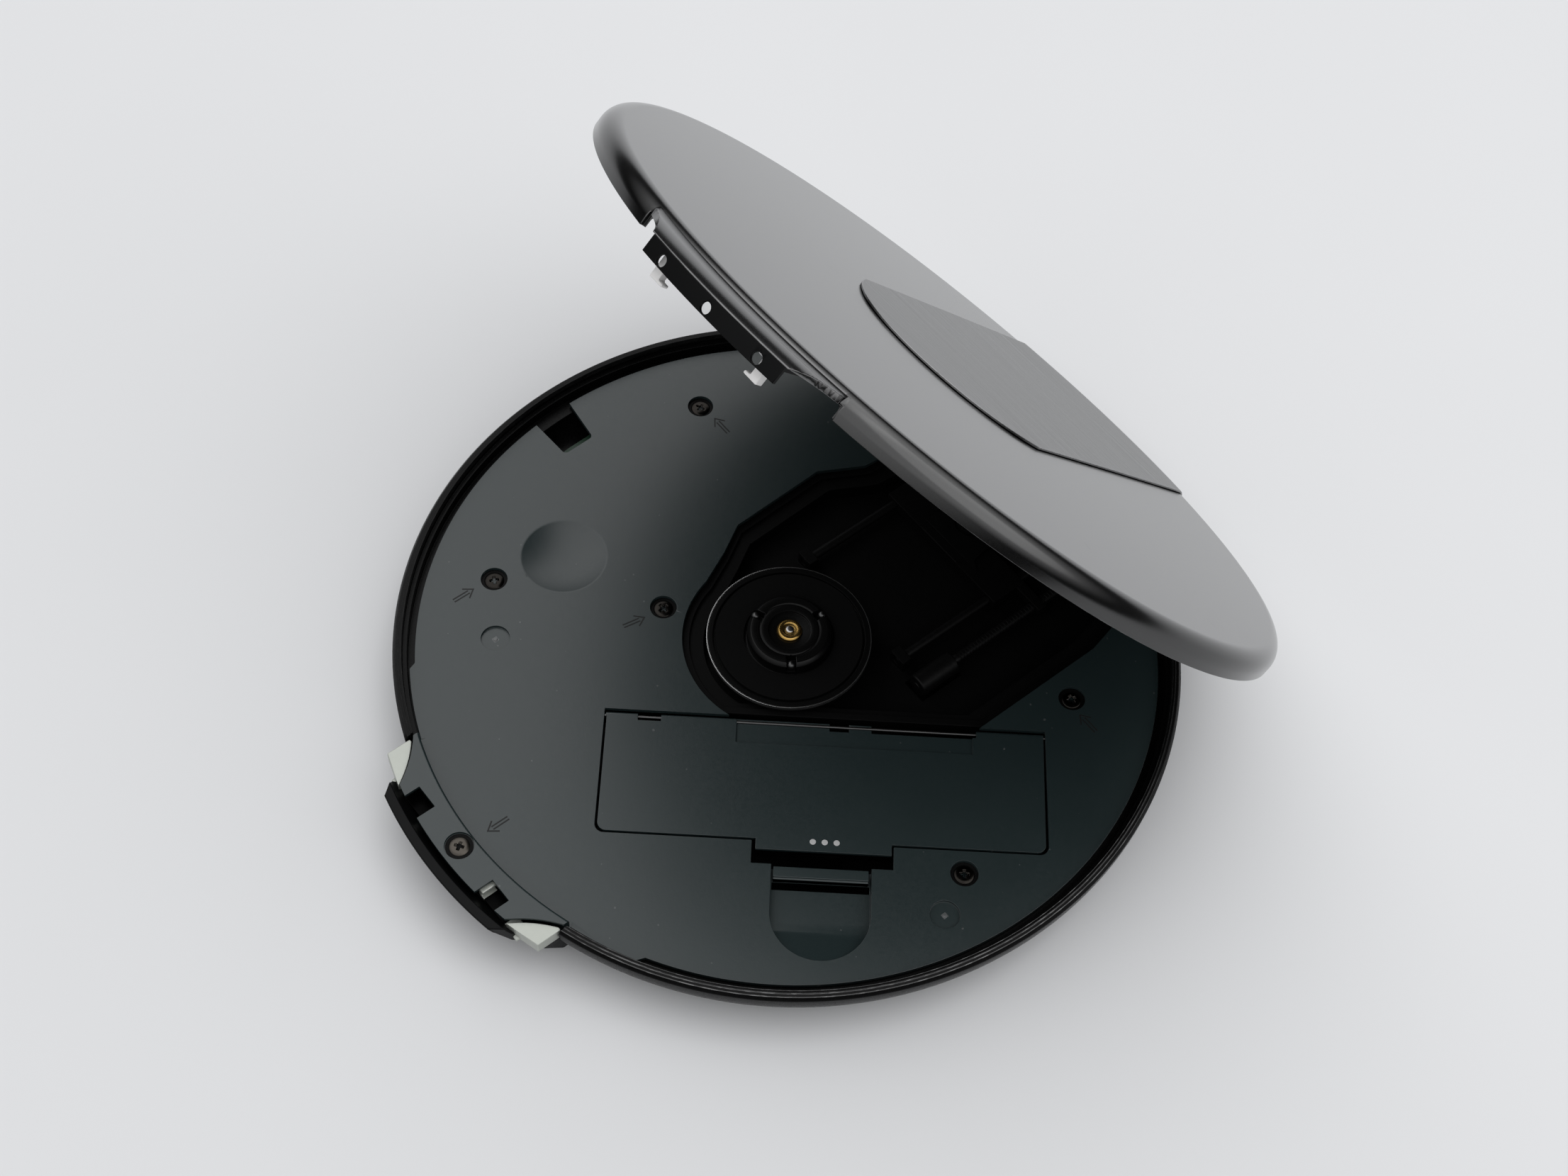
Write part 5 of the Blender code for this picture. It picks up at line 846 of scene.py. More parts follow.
join(plate, moved(slab("tray", recess_outline(0.7), 5.7, 7.9), BAY))
hollow = moved(slab("hollow", recess_outline(0), FINGER_FLOOR, ABOVE), BAY)
ramp = [(-39.9, ABOVE), (-39.9, FINGER_FLOOR), (-52.5, FINGER_FLOOR), (-57.95, FLOOR),
        (-57.95, ABOVE)]
keep(hollow, moved(across("ramp", ramp, DOOR_LEFT, DOOR_RIGHT), BAY))
cut(plate, hollow)
cut(plate, bay_brick("flap_gap", -1.15, 14.35, 44.2, 45.5, 5.9, ABOVE))
cut(plate, bay_brick("tab_room", -4.6, 18.0, 15.75, 41.9, BELOW, ABOVE))
cut(plate, moved(slab("door_room", door_outline(0, BAY_SIDE - 0.3), BELOW, ABOVE), BAY))
start = bay_place(-sqrt(WELL ** 2 - BAY_SIDE ** 2), BAY_SIDE)
well = sweep(0, 0, WELL, 193.5, 360 + degrees(atan2(start[1], start[0])), 64)
well += [(WELL_RIGHT, (WELL_RIGHT * sin(BAY_TURN) - BAY_SIDE) / cos(BAY_TURN)),
         (WELL_RIGHT, 40.0), (28.0, WELL_BACK), (-17.8, WELL_BACK), (-20.0, 33.2),
         (-24.1, 25.6), (-23.4, 7.3), (-20.3, 2.0)]
cut(plate, slab("well", well, BELOW, ABOVE))
cut(plate, brick("hinge_room", (-20.0, 59.6, BELOW), (20.0, 68, ABOVE)))
cut(plate, slab("notch", corners_rounded(NOTCH, 0.8), BELOW, ABOVE))
print("floor with its openings:", len(plate.data.polygons), "faces")

# %% Floor plate: recesses and the thumb dish
DIMPLES = ((-29.5, -39.2), (54.3, -12.0))
DISH = (-36.1, -20.5)
DISH_RADIUS, DISH_DEPTH = 7.6, 1.2

for x, y in SCREWS:
    cut(plate, pin("screw_seat", 2.25, (x, y, FLOOR - 0.65), (x, y, ABOVE), 64))
cut(plate, pin("front_seat", 2.35, (*FRONT_SCREW, 10.5), (*FRONT_SCREW, ABOVE), 64))
for x, y in DIMPLES:
    cut(plate, pin("dimple", 2.4, (x, y, FLOOR - 0.5), (x, y, ABOVE), 64))
    join(plate, pin("gate", 0.35, (x, y, FLOOR - 0.7), (x, y, FLOOR - 0.38), 16))
join(plate, pin("dish_back", 8.8, (*DISH, 6.1), (*DISH, 7.9), 64))
ball = (DISH_RADIUS ** 2 + DISH_DEPTH ** 2) / (2 * DISH_DEPTH)
dish = []
for step in range(17):
    reach = DISH_RADIUS * step / 16
    dish.append((reach, FLOOR - DISH_DEPTH + ball - sqrt(ball ** 2 - reach ** 2)))
dish = turned("dish", dish + [(DISH_RADIUS, ABOVE), (0, ABOVE)], 96)
cut(plate, moved(dish, shift((*DISH, 0))))
for start, end in ((-30.75, -29.95), (43.05, 43.85)):
    join(plate, moved(pin("ear", 0.75, (start, -ROD_OUT, 7.5), (end, -ROD_OUT, 7.5), 24), BAY))
cut(plate, moved(rod("rod_bore", 0.3, -33, 46, 16), BAY))
edit(plate)
bpy.ops.mesh.dissolve_limited(angle_limit=radians(0.2), use_dissolve_boundaries=False)
ease(plate, 0.06, angle=38)
print("floor plate:", len(plate.data.polygons), "faces")

# %% [markdown]
# The battery door lies flush in the floor. It turns on a thin rod along its inner edge, where
# notches leave room for the knuckles, and its tab is held by a small sprung flap. Three
# round dots mark where to push. The printed lines of the real door are left off.

# %% Battery door and its latch
KNUCKLES = ((-24.2, -20.4), (7.3, 10.5), (14.2, 31.4))
DOTS = (5.1, 7.0, 8.9)

door = slab("bay_door", door_outline(0.38, ROD_OUT), UNDER, FLOOR)
join(door, brick("tab", (-4.0, -39.4, UNDER), (17.7, -36.4, FLOOR)))
join(door, rod("barrel", 0.55, -29.45, 42.55))
join(door, brick("hook", (3.0, -39.2, 6.0), (10.0, -38.4, 7.9)))
join(door, brick("hook_nose", (3.0, -39.4, 6.0), (10.0, -38.4, 6.5)))
for start, end in KNUCKLES:
    cut(door, brick("knuckle", (start, -17.2, BELOW), (end, -15.2, 10)))
cut(door, brick("band", (-8.0, -20.3, FLOOR - 0.45), (30.8, -15.2, 10)))
cut(door, rod("rod_bore", 0.3, -32, 45, 16))
ease(door, 0.06, angle=38)
moved(door, BAY)

dot = pin("dot", 0.5, (0, -37.7, FLOOR - 0.03), (0, -37.7, FLOOR + 0.02))
ease(dot, 0.015)
dots = [twin(dot, f"push_dot_{index}", BAY @ shift((along, 0, 0)))
        for index, along in enumerate(DOTS)]
bpy.data.objects.remove(dot)
flap = copied("battery_latch", "latch_flap", 0.1)
print("door:", len(door.data.polygons), "faces, dots:", len(dots))

# %% [markdown]
# ## The turntable
# The turntable is a black disc with a polished metal edge and a raised hub. A brass bush
# holds the steel shaft in its middle, and three sprung balls look out of slots in the hub.
# All of it is turned work, so profiles and spins are the natural way to make it.

# %% Turntable, mat, bush and shaft
BALLS = (84, 204, 324)
BALL_RING = 6.45
BALL_HEIGHT = Vector((0, 0, 10.35))

profile = [(2.15, 7.8), (13.6, 7.8), (13.9, 8.0), (13.9, 9.1), (12.8, 9.1), (12.8, 8.5),
           (7.1, 8.5), (7.1, 10.6), (6.5, 11.2), (5.2, 11.2), (5.1, 11.05), (4.9, 11.05),
           (4.8, 11.2), (3.6, 11.2), (3.6, 10.8), (2.15, 10.8)]
table = turned("disc_table", profile, 160)
for angle in BALLS:
    cut(table, moved(brick("slot", (4.9, -0.8, 9.4), (9.0, 0.8, ABOVE)), spun(angle)))
ease(table, 0.08, angle=38)
mat = turned("grip_mat", [(7.6, 8.8), (12.4, 8.8), (12.4, 9.2), (7.6, 9.2)], 128)
ease(mat, 0.1)
bush = turned("shaft_bush", [(0.8, 7.9), (2.1, 7.9), (2.1, 11.0), (1.8, 11.3), (1.35, 11.3),
                             (1.25, 11.15), (0.8, 11.15)], 64)
ease(bush, 0.05)
shaft = turned("shaft", [(0, 2.3), (0.75, 2.3), (0.75, 11.2), (0.65, 11.4), (0.4, 11.49),
                         (0, 11.5)], 48)
smooth(shaft, 50)
print("turntable:", len(table.data.polygons), "faces")

# %% Sprung balls
let_go()
bpy.ops.mesh.primitive_ico_sphere_add(subdivisions=4, radius=0.75 * MM)
ball = bpy.context.object
edit(ball)
bpy.ops.mesh.bisect(plane_co=(0, 0, -0.6 * MM), plane_no=(0, 0, -1), clear_outer=True,
                    use_fill=True)
smooth(ball)
balls = [twin(ball, f"sprung_ball_{angle:03d}", shift(heading(angle) * BALL_RING + BALL_HEIGHT))
         for angle in BALLS]
bpy.data.objects.remove(ball)
print("balls:", len(balls))

# %% [markdown]
# ## The works
# The tray under the opening carries two rods, the pickup sled, its cover and lens, and
# the feed screw with its motor. The rods, the feed screw, the motors and the pickup cover are
# painted nearly black as painted shade, for they lie in shade under the lid. Only the tray's
# stepped edge is plain to see. The blocky pieces keep the CAD shape, welded, with their sharp
# edges eased, and the round ones are spun anew.

# %% Tray, rods and pickup
RAIL_HEIGHT = 5.2
RAIL_START = 13.2
LENS_PLACE = shift((0, 41, 0))
LENS = 1.9


def lathe(name, profile, place, way=(0, 1, 0), steps=64, soft=0.0):
    """A turned piece whose axis starts at a place and points along way."""
    made = moved(turned(name, profile, steps), shift(place) @ leaned(way))
    if soft:
        ease(made, soft)
    else:
        smooth(made)
    return made


tray = copied("mechanism_chassis", "works_tray", 0.1)
rail = [(0, 0), (0.6, 0), (0.8, 0.2), (0.8, 45.1), (0.6, 45.3), (0, 45.3)]
rods = [lathe(f"rod_{side}", rail, (x, RAIL_START, RAIL_HEIGHT))
        for side, x in zip(SIDES, (-12.0, 13.0))]
sled = copied("pickup_sled", "sled", 0.12)
cover = copied("pickup_cover", "sled_cover", 0.03)
holder = turned("lens_ring", [(0, 7.2), (2.6, 7.2), (2.6, 7.9), (2.2, 7.9), (2.2, 7.4),
                              (0, 7.4)], 96)
ease(holder, 0.05)
moved(holder, LENS_PLACE)
dome = []
for step in range(12):
    angle = pi / 2 * step / 12
    dome.append((LENS * cos(angle), 7.8 + 0.3 * sin(angle)))
lens = turned("lens", [(0, 7.5), (LENS, 7.5)] + dome + [(0, 8.1)], 96)
smooth(lens)
moved(lens, LENS_PLACE)
print("tray, rods and pickup:", len(tray.data.polygons), len(rods), len(sled.data.polygons))

# %% Feed screw and motors
CREST, CORE = 0.9, 0.78
PITCH = 0.68
FEED_LENGTH = 37.2

thread = [(0, 0), (0.7, 0)]
for turn_index in range(52):
    low = 0.8 + turn_index * PITCH
    thread += [(CREST, low), (CREST, low + 0.34), (CORE, low + 0.42), (CORE, low + 0.6)]
thread += [(CREST, 36.4), (CREST, FEED_LENGTH - 0.2), (0.7, FEED_LENGTH), (0, FEED_LENGTH)]
feed = lathe("feed_screw", thread, (18.8, 20.6, RAIL_HEIGHT), steps=32)
can = [(0, 0), (0.7, 0), (0.8, 0.15), (1.8, 0.15), (2.0, 0.35), (2.0, 7.8), (1.85, 8.0),
       (0.95, 8.0), (0.95, 6.1), (0, 6.1)]
feed_motor = lathe("feed_motor_can", can, (18.8, 12.5, RAIL_HEIGHT), soft=0.05)
can = [(0, 1.7), (8.7, 1.7), (9.0, 2.0), (9.0, 4.0), (11.2, 4.0), (11.2, 4.5), (9.0, 4.5),
       (9.0, 5.8), (8.8, 6.0), (2.0, 6.0), (2.0, 6.6), (0.8, 6.6), (0.8, 2.0), (0, 2.0)]
motor = turned("motor_can", can, 128)
ease(motor, 0.08)
print("feed screw and motors:", [len(x.data.polygons) for x in (feed, feed_motor, motor)])

# %% [markdown]
# ## Screws and marks
# Six small cross-head screws hold the floor. Their heads sit low in the round seats. One is
# turned from a profile, gets its cross cut by two tapered slots, and is then copied with a
# mesh of its own. A thin black washer under each head fills its seat and closes the bottom
# of its cross; it is painted shade, a black piece that stands in for the shade in the seat
# and in the cross. Beside five of them lies a moulded arrow made of a few thin raised lines.

# %% Cross-head screws
CROSS_FLOOR = -0.12
SCREW_TURNS = (20, 65, 5, 50, 80)

head = [(0, -0.2), (1.6, -0.2), (1.7, -0.1), (1.68, 0.08), (1.5, 0.2), (1.1, 0.28),
        (0.6, 0.32), (0, 0.33)]
screw = turned("screw", head, 64)
for angle in (0, 90):
    slot = brick("cross", (-1.1, -0.32, CROSS_FLOOR), (1.1, 0.32, 0.6))
    edit(slot)
    shape = bmesh.from_edit_mesh(slot.data)
    for corner in shape.verts:
        corner.select_set(corner.co.z < 0)
    shape.select_flush(False)
    bmesh.update_edit_mesh(slot.data)
    bpy.ops.transform.resize(value=(0.4, 0.6, 1), center_override=(0, 0, CROSS_FLOOR * MM))
    let_go()
    cut(screw, moved(slot, spun(angle)))
ease(screw, 0.03, segments=1)
# Painted shade: a black disc that fills the seat round the head and the bottom of the cross,
# where there is only shade.
seat_shade_disc = turned("seat_shade_disc", [(0, -0.12), (2.22, -0.12), (2.22, 0.05), (1.3, 0.05), (1.3, -0.03),
                           (0, -0.03)], 64)
spots = [(x, y, FLOOR - 0.62, turn) for (x, y), turn in zip(SCREWS, SCREW_TURNS)]
spots.append((*FRONT_SCREW, RIM - 0.44, 35))
screws, seat_shade_discs = [], []
for index, (x, y, z, turn) in enumerate(spots):
    place = shift((x, y, z)) @ spun(turn)
    screws.append(twin(screw, f"cross_screw_{index}", place))
    seat_shade_discs.append(twin(seat_shade_disc, f"washer_{index}", place))
bpy.data.objects.remove(screw)
bpy.data.objects.remove(seat_shade_disc)
print("screws:", len(screws), "washers:", len(seat_shade_discs))

# %% Moulded arrows
ARROWS = ((-42.2, 18.2, 180), (-39.7, -38.6, 90), (-18.2, -18.8, 80), (42.5, 29.4, 180),
          (-0.6, -58.6, 270))
ARROW_LINES = (((-1.9, 0.28), (0.9, 0.28)), ((-1.9, -0.28), (0.9, -0.28)),
               ((0.5, 1.05), (1.9, 0)), ((1.9, 0), (0.5, -1.05)))
LINE_HALF = 0.12


def arrow(name, x, y, turn):
    """Two shaft lines and a head, thin bars just proud of the floor, pointing along turn."""
    bars = []
    for start, end in ARROW_LINES:
        start, end = Vector(start), Vector(end)
        along = (end - start).normalized() * LINE_HALF
        side = Vector((-along.y, along.x))
        corners = (start - along - side, end + along - side, end + along + side,
                   start - along + side)
        bars.append(slab(name, [tuple(spot) for spot in corners], FLOOR - 0.04, FLOOR + 0.035))
    join(*bars)
    ease(bars[0], 0.015, segments=1)
    return moved(bars[0], shift((x, y, 0)) @ spun(turn))


arrows = [arrow(f"arrow_{index}", *values) for index, values in enumerate(ARROWS)]
print("arrows:", len(arrows))

# %% [markdown]
# ## Pieces at the side, underneath and inside
# Jacks, side buttons and rubber feet show from other angles, and the battery, its contacts
# and the boards show when the door is open. Round ones are turned anew. Boxy ones are welded
# copies of the CAD nodes with eased edges.

# %% Jacks, feet and buttons
def jack(name, bore, angle, with_pin):
    """A socket body with its collar, and a middle pin where it has one."""
    def bar(part, radius, start, end, steps=64):
        return pin(part, radius, (start, 0, JACK_HEIGHT), (end, 0, JACK_HEIGHT), steps)

    made = brick(name, (50.0, -3.0, 2.2), (58.6, 3.0, 6.9))
    join(made, bar("collar", 2.15, 51.4, 63.8))
    cut(made, bar("bore", bore, 52.0, 66))
    if with_pin:
        join(made, bar("middle", 0.4, 51.3, 62.5, 24))
    ease(made, 0.12)
    return moved(made, spun(angle))


jacks = [jack("phones_socket", 1.78, JACKS[0], False),
         jack("power_socket", 1.65, JACKS[1], True)]
foot = turned("foot", [(0, 0), (3.7, 0), (4.0, 0.2), (4.0, 0.5), (0, 0.5)], 96)
smooth(foot)
feet = [twin(foot, f"rubber_foot_{angle:03d}", shift(heading(angle) * FOOT_RING + SOLE_DROP))
        for angle in FEET]
bpy.data.objects.remove(foot)
buttons = [copied(f"button_{angle}", f"side_key_{angle}", 0.14) for angle in KEYS]
hold_key = copied("hold_switch", "hold_key", 0.07)
print("jacks, feet and buttons:", len(jacks), len(feet), len(buttons))

# %% Hinge metal
PIN_LENGTH = 37
COIL = 1.25
TURN_STEPS, TURNS = 24, 5

axle = [(0, 0), (0.6, 0), (0.7, 0.1), (0.7, PIN_LENGTH - 0.1), (0.6, PIN_LENGTH),
        (0, PIN_LENGTH)]
hinge_pin = lathe("hinge_axle", axle, (-PIN_LENGTH / 2, *HINGE.yz), (1, 0, 0), 48)
door_rod = moved(rod("door_rod", 0.25, -30.75, 43.85), BAY)
smooth(door_rod)

let_go()
curve = bpy.data.curves.new("coil", "CURVE")
curve.dimensions = "3D"
curve.bevel_depth = 0.25 * MM
curve.bevel_resolution = 4
curve.use_fill_caps = True
spline = curve.splines.new("POLY")
places = []
for step in range(TURN_STEPS * TURNS + 1):
    angle = tau * step / TURN_STEPS
    places.append((step / 20 - 3, HINGE.y + COIL * cos(angle), HINGE.z + COIL * sin(angle)))
places.append((3, 65.3, 5.9))
spline.points.add(len(places) - 1)
for point, place in zip(spline.points, places):
    point.co = (*(Vector(place) * MM), 1)
coil = bpy.data.objects.new("coil_spring", curve)
bpy.context.scene.collection.objects.link(coil)
hold(coil)
bpy.ops.object.convert(target="MESH")
turn_outwards(coil)
smooth(coil, 60)
print("hinge pin, door rod, spring:",
      [len(x.data.polygons) for x in (hinge_pin, door_rod, coil)])

# %% [markdown]
# ## Finishes that need their own pattern
# The satin lid has a very fine sparkle, faint clouds and a few small scratches, drawn in the
# shut lid's own axes with a Mapping node so that they stay on it when it opens. Its rolled
# edge is painted darker, a painted reflection of the dark player and room that it faces. The
# bare plate is brushed along its width. The floor has dust and a fine mould grain, and is
# painted black in its deep recesses as painted shade. The rim of the bowl has thin pale lines
# of painted highlight along its edges, on one arc at the front right. The turntable has a
# polished edge.

# %% Lid and bare plate finishes
SCRATCHES = ((-20, -13, 35, 2.2, 0.12), (44.7, -27, -20, 1.6, 0.14), (44.3, -18, 70, 1.3, 0.1),
             (58.6, -4.5, 10, 1.8, 0.15), (31, -34, 50, 1.0, 0.07))
ROLL_START = 63.3
BESIDE_LIP = 19.3


def lid_axes(made):
    """Object coordinates turned back to the shut lid."""
    shut = HINGE * MM - Matrix.Rotation(-LID_SWING, 3, "X") @ (HINGE * MM)
    return made.node("ShaderNodeMapping", {}, {"Vector": made.place, "Location": shut,
                                               "Rotation": (-LID_SWING, 0, 0)})


def scratch(made, where, x, y, turn, length, width):
    """1 on a short straight scratch, 0 elsewhere."""
    middle = Matrix.Rotation(radians(-turn), 3, "Z") @ Vector((-x * MM, -y * MM, 0))
    local = made.node("ShaderNodeMapping", {}, {"Vector": where, "Location": middle,
                                                "Rotation": (0, 0, radians(-turn))})
    along, over, up = made.parts(local)
    return (abs(along) < length / 2 * MM) * (abs(over) < width / 2 * MM)


def satin_lid():
    made = Finish("satin_lid_metal", metallic=1.0)
    where = lid_axes(made)
    clouds = made.noise(28, 4, where)
    sparkle = made.noise(5200, 1, where)
    hairs = made.noise(900, 2, where, (0.12, 1.6, 1)) > 0.73
    marks = scratch(made, where, *SCRATCHES[0])
    for values in SCRATCHES[1:]:
        marks = marks + scratch(made, where, *values)
    edge = made.edges(0.18, 6) * made.steps(made.noise(420, 3, where), (0.42, 0), (0.66, 1))
    x, y, z = made.parts(where)
    beside_lip = made.clamped((abs(x) > BESIDE_LIP * MM) + (y > 0.0))
    # Painted reflection: beside the lip and at the back, the rolled edge is painted darker
    # where it would mirror the dark player and room.
    roll = made.clamped((made.from_axis(x, y) - ROLL_START * MM) * 500) * beside_lip
    shade = made.clouded(clouds, grey(0.165), grey(0.18))
    shade = made.mix(made.steps(sparkle, (0.45, 0), (0.75, 0.25)), shade, grey(0.23))
    shade = made.mix(roll * 0.65, shade, grey(0.035))
    shade = made.mix(edge * 0.55, shade, grey(0.42))
    shade = made.mix(made.clamped(marks) * 0.6, shade, grey(0.05))
    made.wear(shade, 0.18 + (clouds - 0.5) * 0.05 + (sparkle - 0.5) * 0.06 + hairs * 0.02)
    made.bump(sparkle * 0.5 + made.clamped(marks) * -2.0, 0.002)
    return made


def bare_plate():
    made = Finish("brushed_bare_plate", metallic=1.0)
    where = lid_axes(made)
    streaks = made.noise(60, 4, where, (0.35, 60, 1))
    broad = made.noise(60, 2, where, (0.2, 8, 1))
    shade = made.mix(made.steps(streaks, (0.32, 0), (0.68, 1)), grey(0.125), grey(0.175))
    shade = made.mix(made.steps(broad, (0.4, 0), (0.7, 0.4)), shade, grey(0.20))
    shade = made.mix(made.edges(0.16, 7) * 0.8, shade, grey(0.6))
    made.wear(shade, 0.3 + (streaks - 0.5) * 0.24)
    made.bump(streaks, 0.004)
    return made


finishes.update(lid=satin_lid(), bare=bare_plate())
print("lid finishes: scratches", len(SCRATCHES))

# %% Floor finish
FINGER_SHADE, FLAP_SHADE, DOOR_SHADE = 6.3, 7.7, 7.8
NUB = 0.45


def slate_floor(name, depth):
    """Satin slate plastic, painted black below a depth as painted shade, where it is always in
    shade.
    """
    made = Finish(name, specular=0.62)
    clouds = made.noise(35, 4)
    grain = made.noise(2600, 2)
    dust = made.noise(1100, 0) > 0.865
    shade = made.clouded(clouds, (0.012, 0.0205, 0.0215, 1), (0.014, 0.0235, 0.0245, 1))
    shade = made.mix(dust * 0.35, shade, grey(0.15))
    shade = made.mix(made.edges(0.15) * 0.2, shade, grey(0.05))
    x, y, z = made.parts(made.place)
    # Painted shade: below the depth the colour turns nearly black and Metallic is set to 1, so
    # that the surface reflects almost nothing either.
    deep = z < depth * MM
    shade = made.mix(deep, shade, grey(0.001))
    made.feed(made.shader.inputs["Metallic"], deep)
    for left, low in DIMPLES:
        nub = (abs(x - left * MM) < NUB * MM) * (abs(y - low * MM) < NUB * MM)
        shade = made.mix(nub * 0.4, shade, grey(0.2))
    made.wear(shade, 0.34 + (grain - 0.5) * 0.15 + (clouds - 0.5) * 0.08)
    made.bump(grain, 0.006)
    return made


finishes.update(floor=slate_floor("slate_floor", FINGER_SHADE),
                flap=slate_floor("slate_flap", FLAP_SHADE),
                door=slate_floor("slate_door", DOOR_SHADE))
print("floor finishes for the floor, the latch and the door")

# %% Rim, turntable, lever and lens finishes
PAINTED_GLINT_RADII = (64.3, 64.78, 65.3)
PAINTED_GLINT_HALF, PAINTED_GLINT_ABOVE = 0.07, 9.9
BRIGHT_FROM, BRIGHT_ABOVE = 13.72, 8.4
ARM_FROM, ARM_TO = 8.7, 14.1


def rim_with_painted_glints():
    made = Finish("black_with_painted_glints", specular=0.1)
    grain = made.noise(1800, 2)
    clouds = made.noise(60, 3)
    x, y, z = made.parts(made.place)
    angle = y.maths("ARCTAN2", y, x)
    radius = made.from_axis(x, y)
    ring = made.node("ShaderNodeCombineXYZ", {}, {0: angle * 0.03, 1: radius * 3, 2: z * 3})
    streaks = made.steps(made.noise(1300, 3, ring), (0.5, 0), (0.6, 0.5))
    # Painted highlight: thin pale lines at three edge radii of the rim, broken up by streaky
    # noise, only near the top and on one arc at the front right, stand in for glints along the
    # rim's edges.
    painted_glint_arc = made.steps(abs(angle + 0.45), (0.6, 1), (1.1, 0.08))
    lines = 0.0
    for place in PAINTED_GLINT_RADII:
        lines = (abs(radius - place * MM) < PAINTED_GLINT_HALF * MM) + lines
    painted_glints = made.clamped(lines * (streaks + 0.35)) * painted_glint_arc * (z > PAINTED_GLINT_ABOVE * MM)
    shade = made.clouded(clouds, grey(0.002), grey(0.0035))
    shade = made.mix(made.edges(0.12, 6) * 0.3, shade, grey(0.015))
    shade = made.mix(painted_glints, shade, grey(0.22))
    made.wear(shade, 0.28 + (grain - 0.5) * 0.16 + painted_glints * 0.15)
    made.bump(grain, 0.006)
    return made


def polished_edge():
    made = Finish("turntable_black", specular=0.22)
    x, y, z = made.parts(made.place)
    radius = made.from_axis(x, y)
    ring = made.noise(3000, 2, made.node("ShaderNodeCombineXYZ", {}, {0: radius}))
    bright = (radius > BRIGHT_FROM * MM) * (z > BRIGHT_ABOVE * MM)
    shade = made.clouded(ring, grey(0.002), grey(0.004))
    shade = made.mix(made.edges(0.12, 4) * 0.3, shade, grey(0.02))
    made.wear(made.mix(bright, shade, grey(0.5)), 0.3 + (ring - 0.5) * 0.12 - bright * 0.1)
    made.feed(made.shader.inputs["Metallic"], bright * 0.95)
    made.bump(ring * (1 - bright), 0.004)
    return made


def lever_paint():
    """Silver paint on the wedge and the catch tip, bare black on the arm between them."""
    made = Finish("lever_paint")
    clouds = made.noise(60, 3)
    fine = made.noise(1400, 2)
    x, y, z = made.parts(made.place)
    reach = abs(x)
    arm = (reach < ARM_TO * MM) * (reach > ARM_FROM * MM)
    edge = made.edges(0.2) * made.steps(made.noise(300, 3), (0.35, 0), (0.7, 1))
    shade = made.mix(clouds, (0.42, 0.44, 0.40, 1), (0.50, 0.52, 0.475, 1))
    shade = made.mix(edge * 0.5, shade, grey(0.8))
    made.wear(made.mix(arm, shade, grey(0.003)), 0.36 + (fine - 0.5) * 0.16)
    made.feed(made.shader.inputs["Metallic"], 0.3 + arm * 0.7)
    made.bump(fine, 0.003)
    return made


def coated_lens():
    made = Finish("coated_lens", coat=1.0, specular=0.7)
    rings = made.noise(400, 2)
    shade = made.mix(rings, (0.02, 0.025, 0.09, 1), (0.05, 0.03, 0.10, 1))
    made.wear(shade, 0.05 + rings * 0.03)
    made.bump(rings, 0.001)
    return made


finishes.update(
    bowl=rim_with_painted_glints(), table=polished_edge(), lever=lever_paint(), lens=coated_lens(),
    dots=plain_finish("pale_dots", grey(0.42), 0.5, grey(0.5)),
    marks=plain_finish("moulded_marks", grey(0.009), 0.5, grey(0.012), specular=0.3),
    steel_dark=plain_finish("dark_steel", grey(0.10), 0.35, grey(0.4), metallic=1.0))
print("finishes:", len(finishes))

# %% [markdown]
# ## Putting it together
# Every piece gets its finish, rides on its body, and hides the CAD node that it stands for. The
# boxy nodes inside, such as the boards and the cell, are welded copies with eased edges.


def fit(thing, look, body, *stands_for):
    """Finish a piece, let it ride on its body, and hide the CAD nodes that it stands for."""
    thing.data.materials.clear()
    thing.data.materials.append(finishes[look].material)
    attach(thing, body)
    if stands_for:
        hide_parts(*stands_for)


fit(lid, "lid", "lid", "lid_shell")
fit(emblem, "bare", "lid", "emblem_plate")
fit(strip, "black", "lid", "latch_strip")
fit(liner, "inner", "lid", "lid_liner")
fit(bracket, "steel_dark", "lid", "hinge_bracket")
for side, claw, lever in zip(SIDES, claws, levers):
    fit(claw, "milky", "lid", f"latch_claw_{side}")
    fit(lever, "lever", f"lever_{side}", f"release_lever_{side}")
fit(bowl, "bowl", "base", "base_shell")
fit(plate, "floor", "base", "floor_plate")
fit(bumper, "black", "base", "front_bumper")
fit(door, "door", "door", "battery_door")
for mark in dots:
    fit(mark, "dots", "door")
fit(flap, "flap", "door_latch", "battery_latch")
fit(table, "table", "disc_table", "turntable")
fit(mat, "rubber", "disc_table", "turntable_mat")
fit(bush, "brass", "disc_table", "spindle_bush")
fit(shaft, "steel", "disc_table", "spindle_shaft")
for angle, sphere in zip(BALLS, balls):
    fit(sphere, "steel_dark", f"ball_{angle:03d}", f"chucking_ball_{angle:03d}")
fit(tray, "inner", "base", "mechanism_chassis")
for side, rail in zip(SIDES, rods):
    fit(rail, "painted_shade_steel", "base", f"guide_rod_{side}")
fit(sled, "inner", "sled", "pickup_sled")
fit(cover, "painted_shade_steel", "sled", "pickup_cover")
fit(holder, "black", "lens", "lens_holder")
fit(lens, "lens", "lens", "objective_lens")
fit(feed, "painted_shade_steel", "screw", "lead_screw")
fit(feed_motor, "painted_shade_steel", "base", "feed_motor")
fit(motor, "painted_shade_steel", "base", "spindle_motor")
for name, socket in zip(("headphone_jack", "power_jack"), jacks):
    fit(socket, "black", "base", name)
for angle, foot_pad in zip(FEET, feet):
    fit(foot_pad, "rubber", "base", f"foot_{angle:03d}")
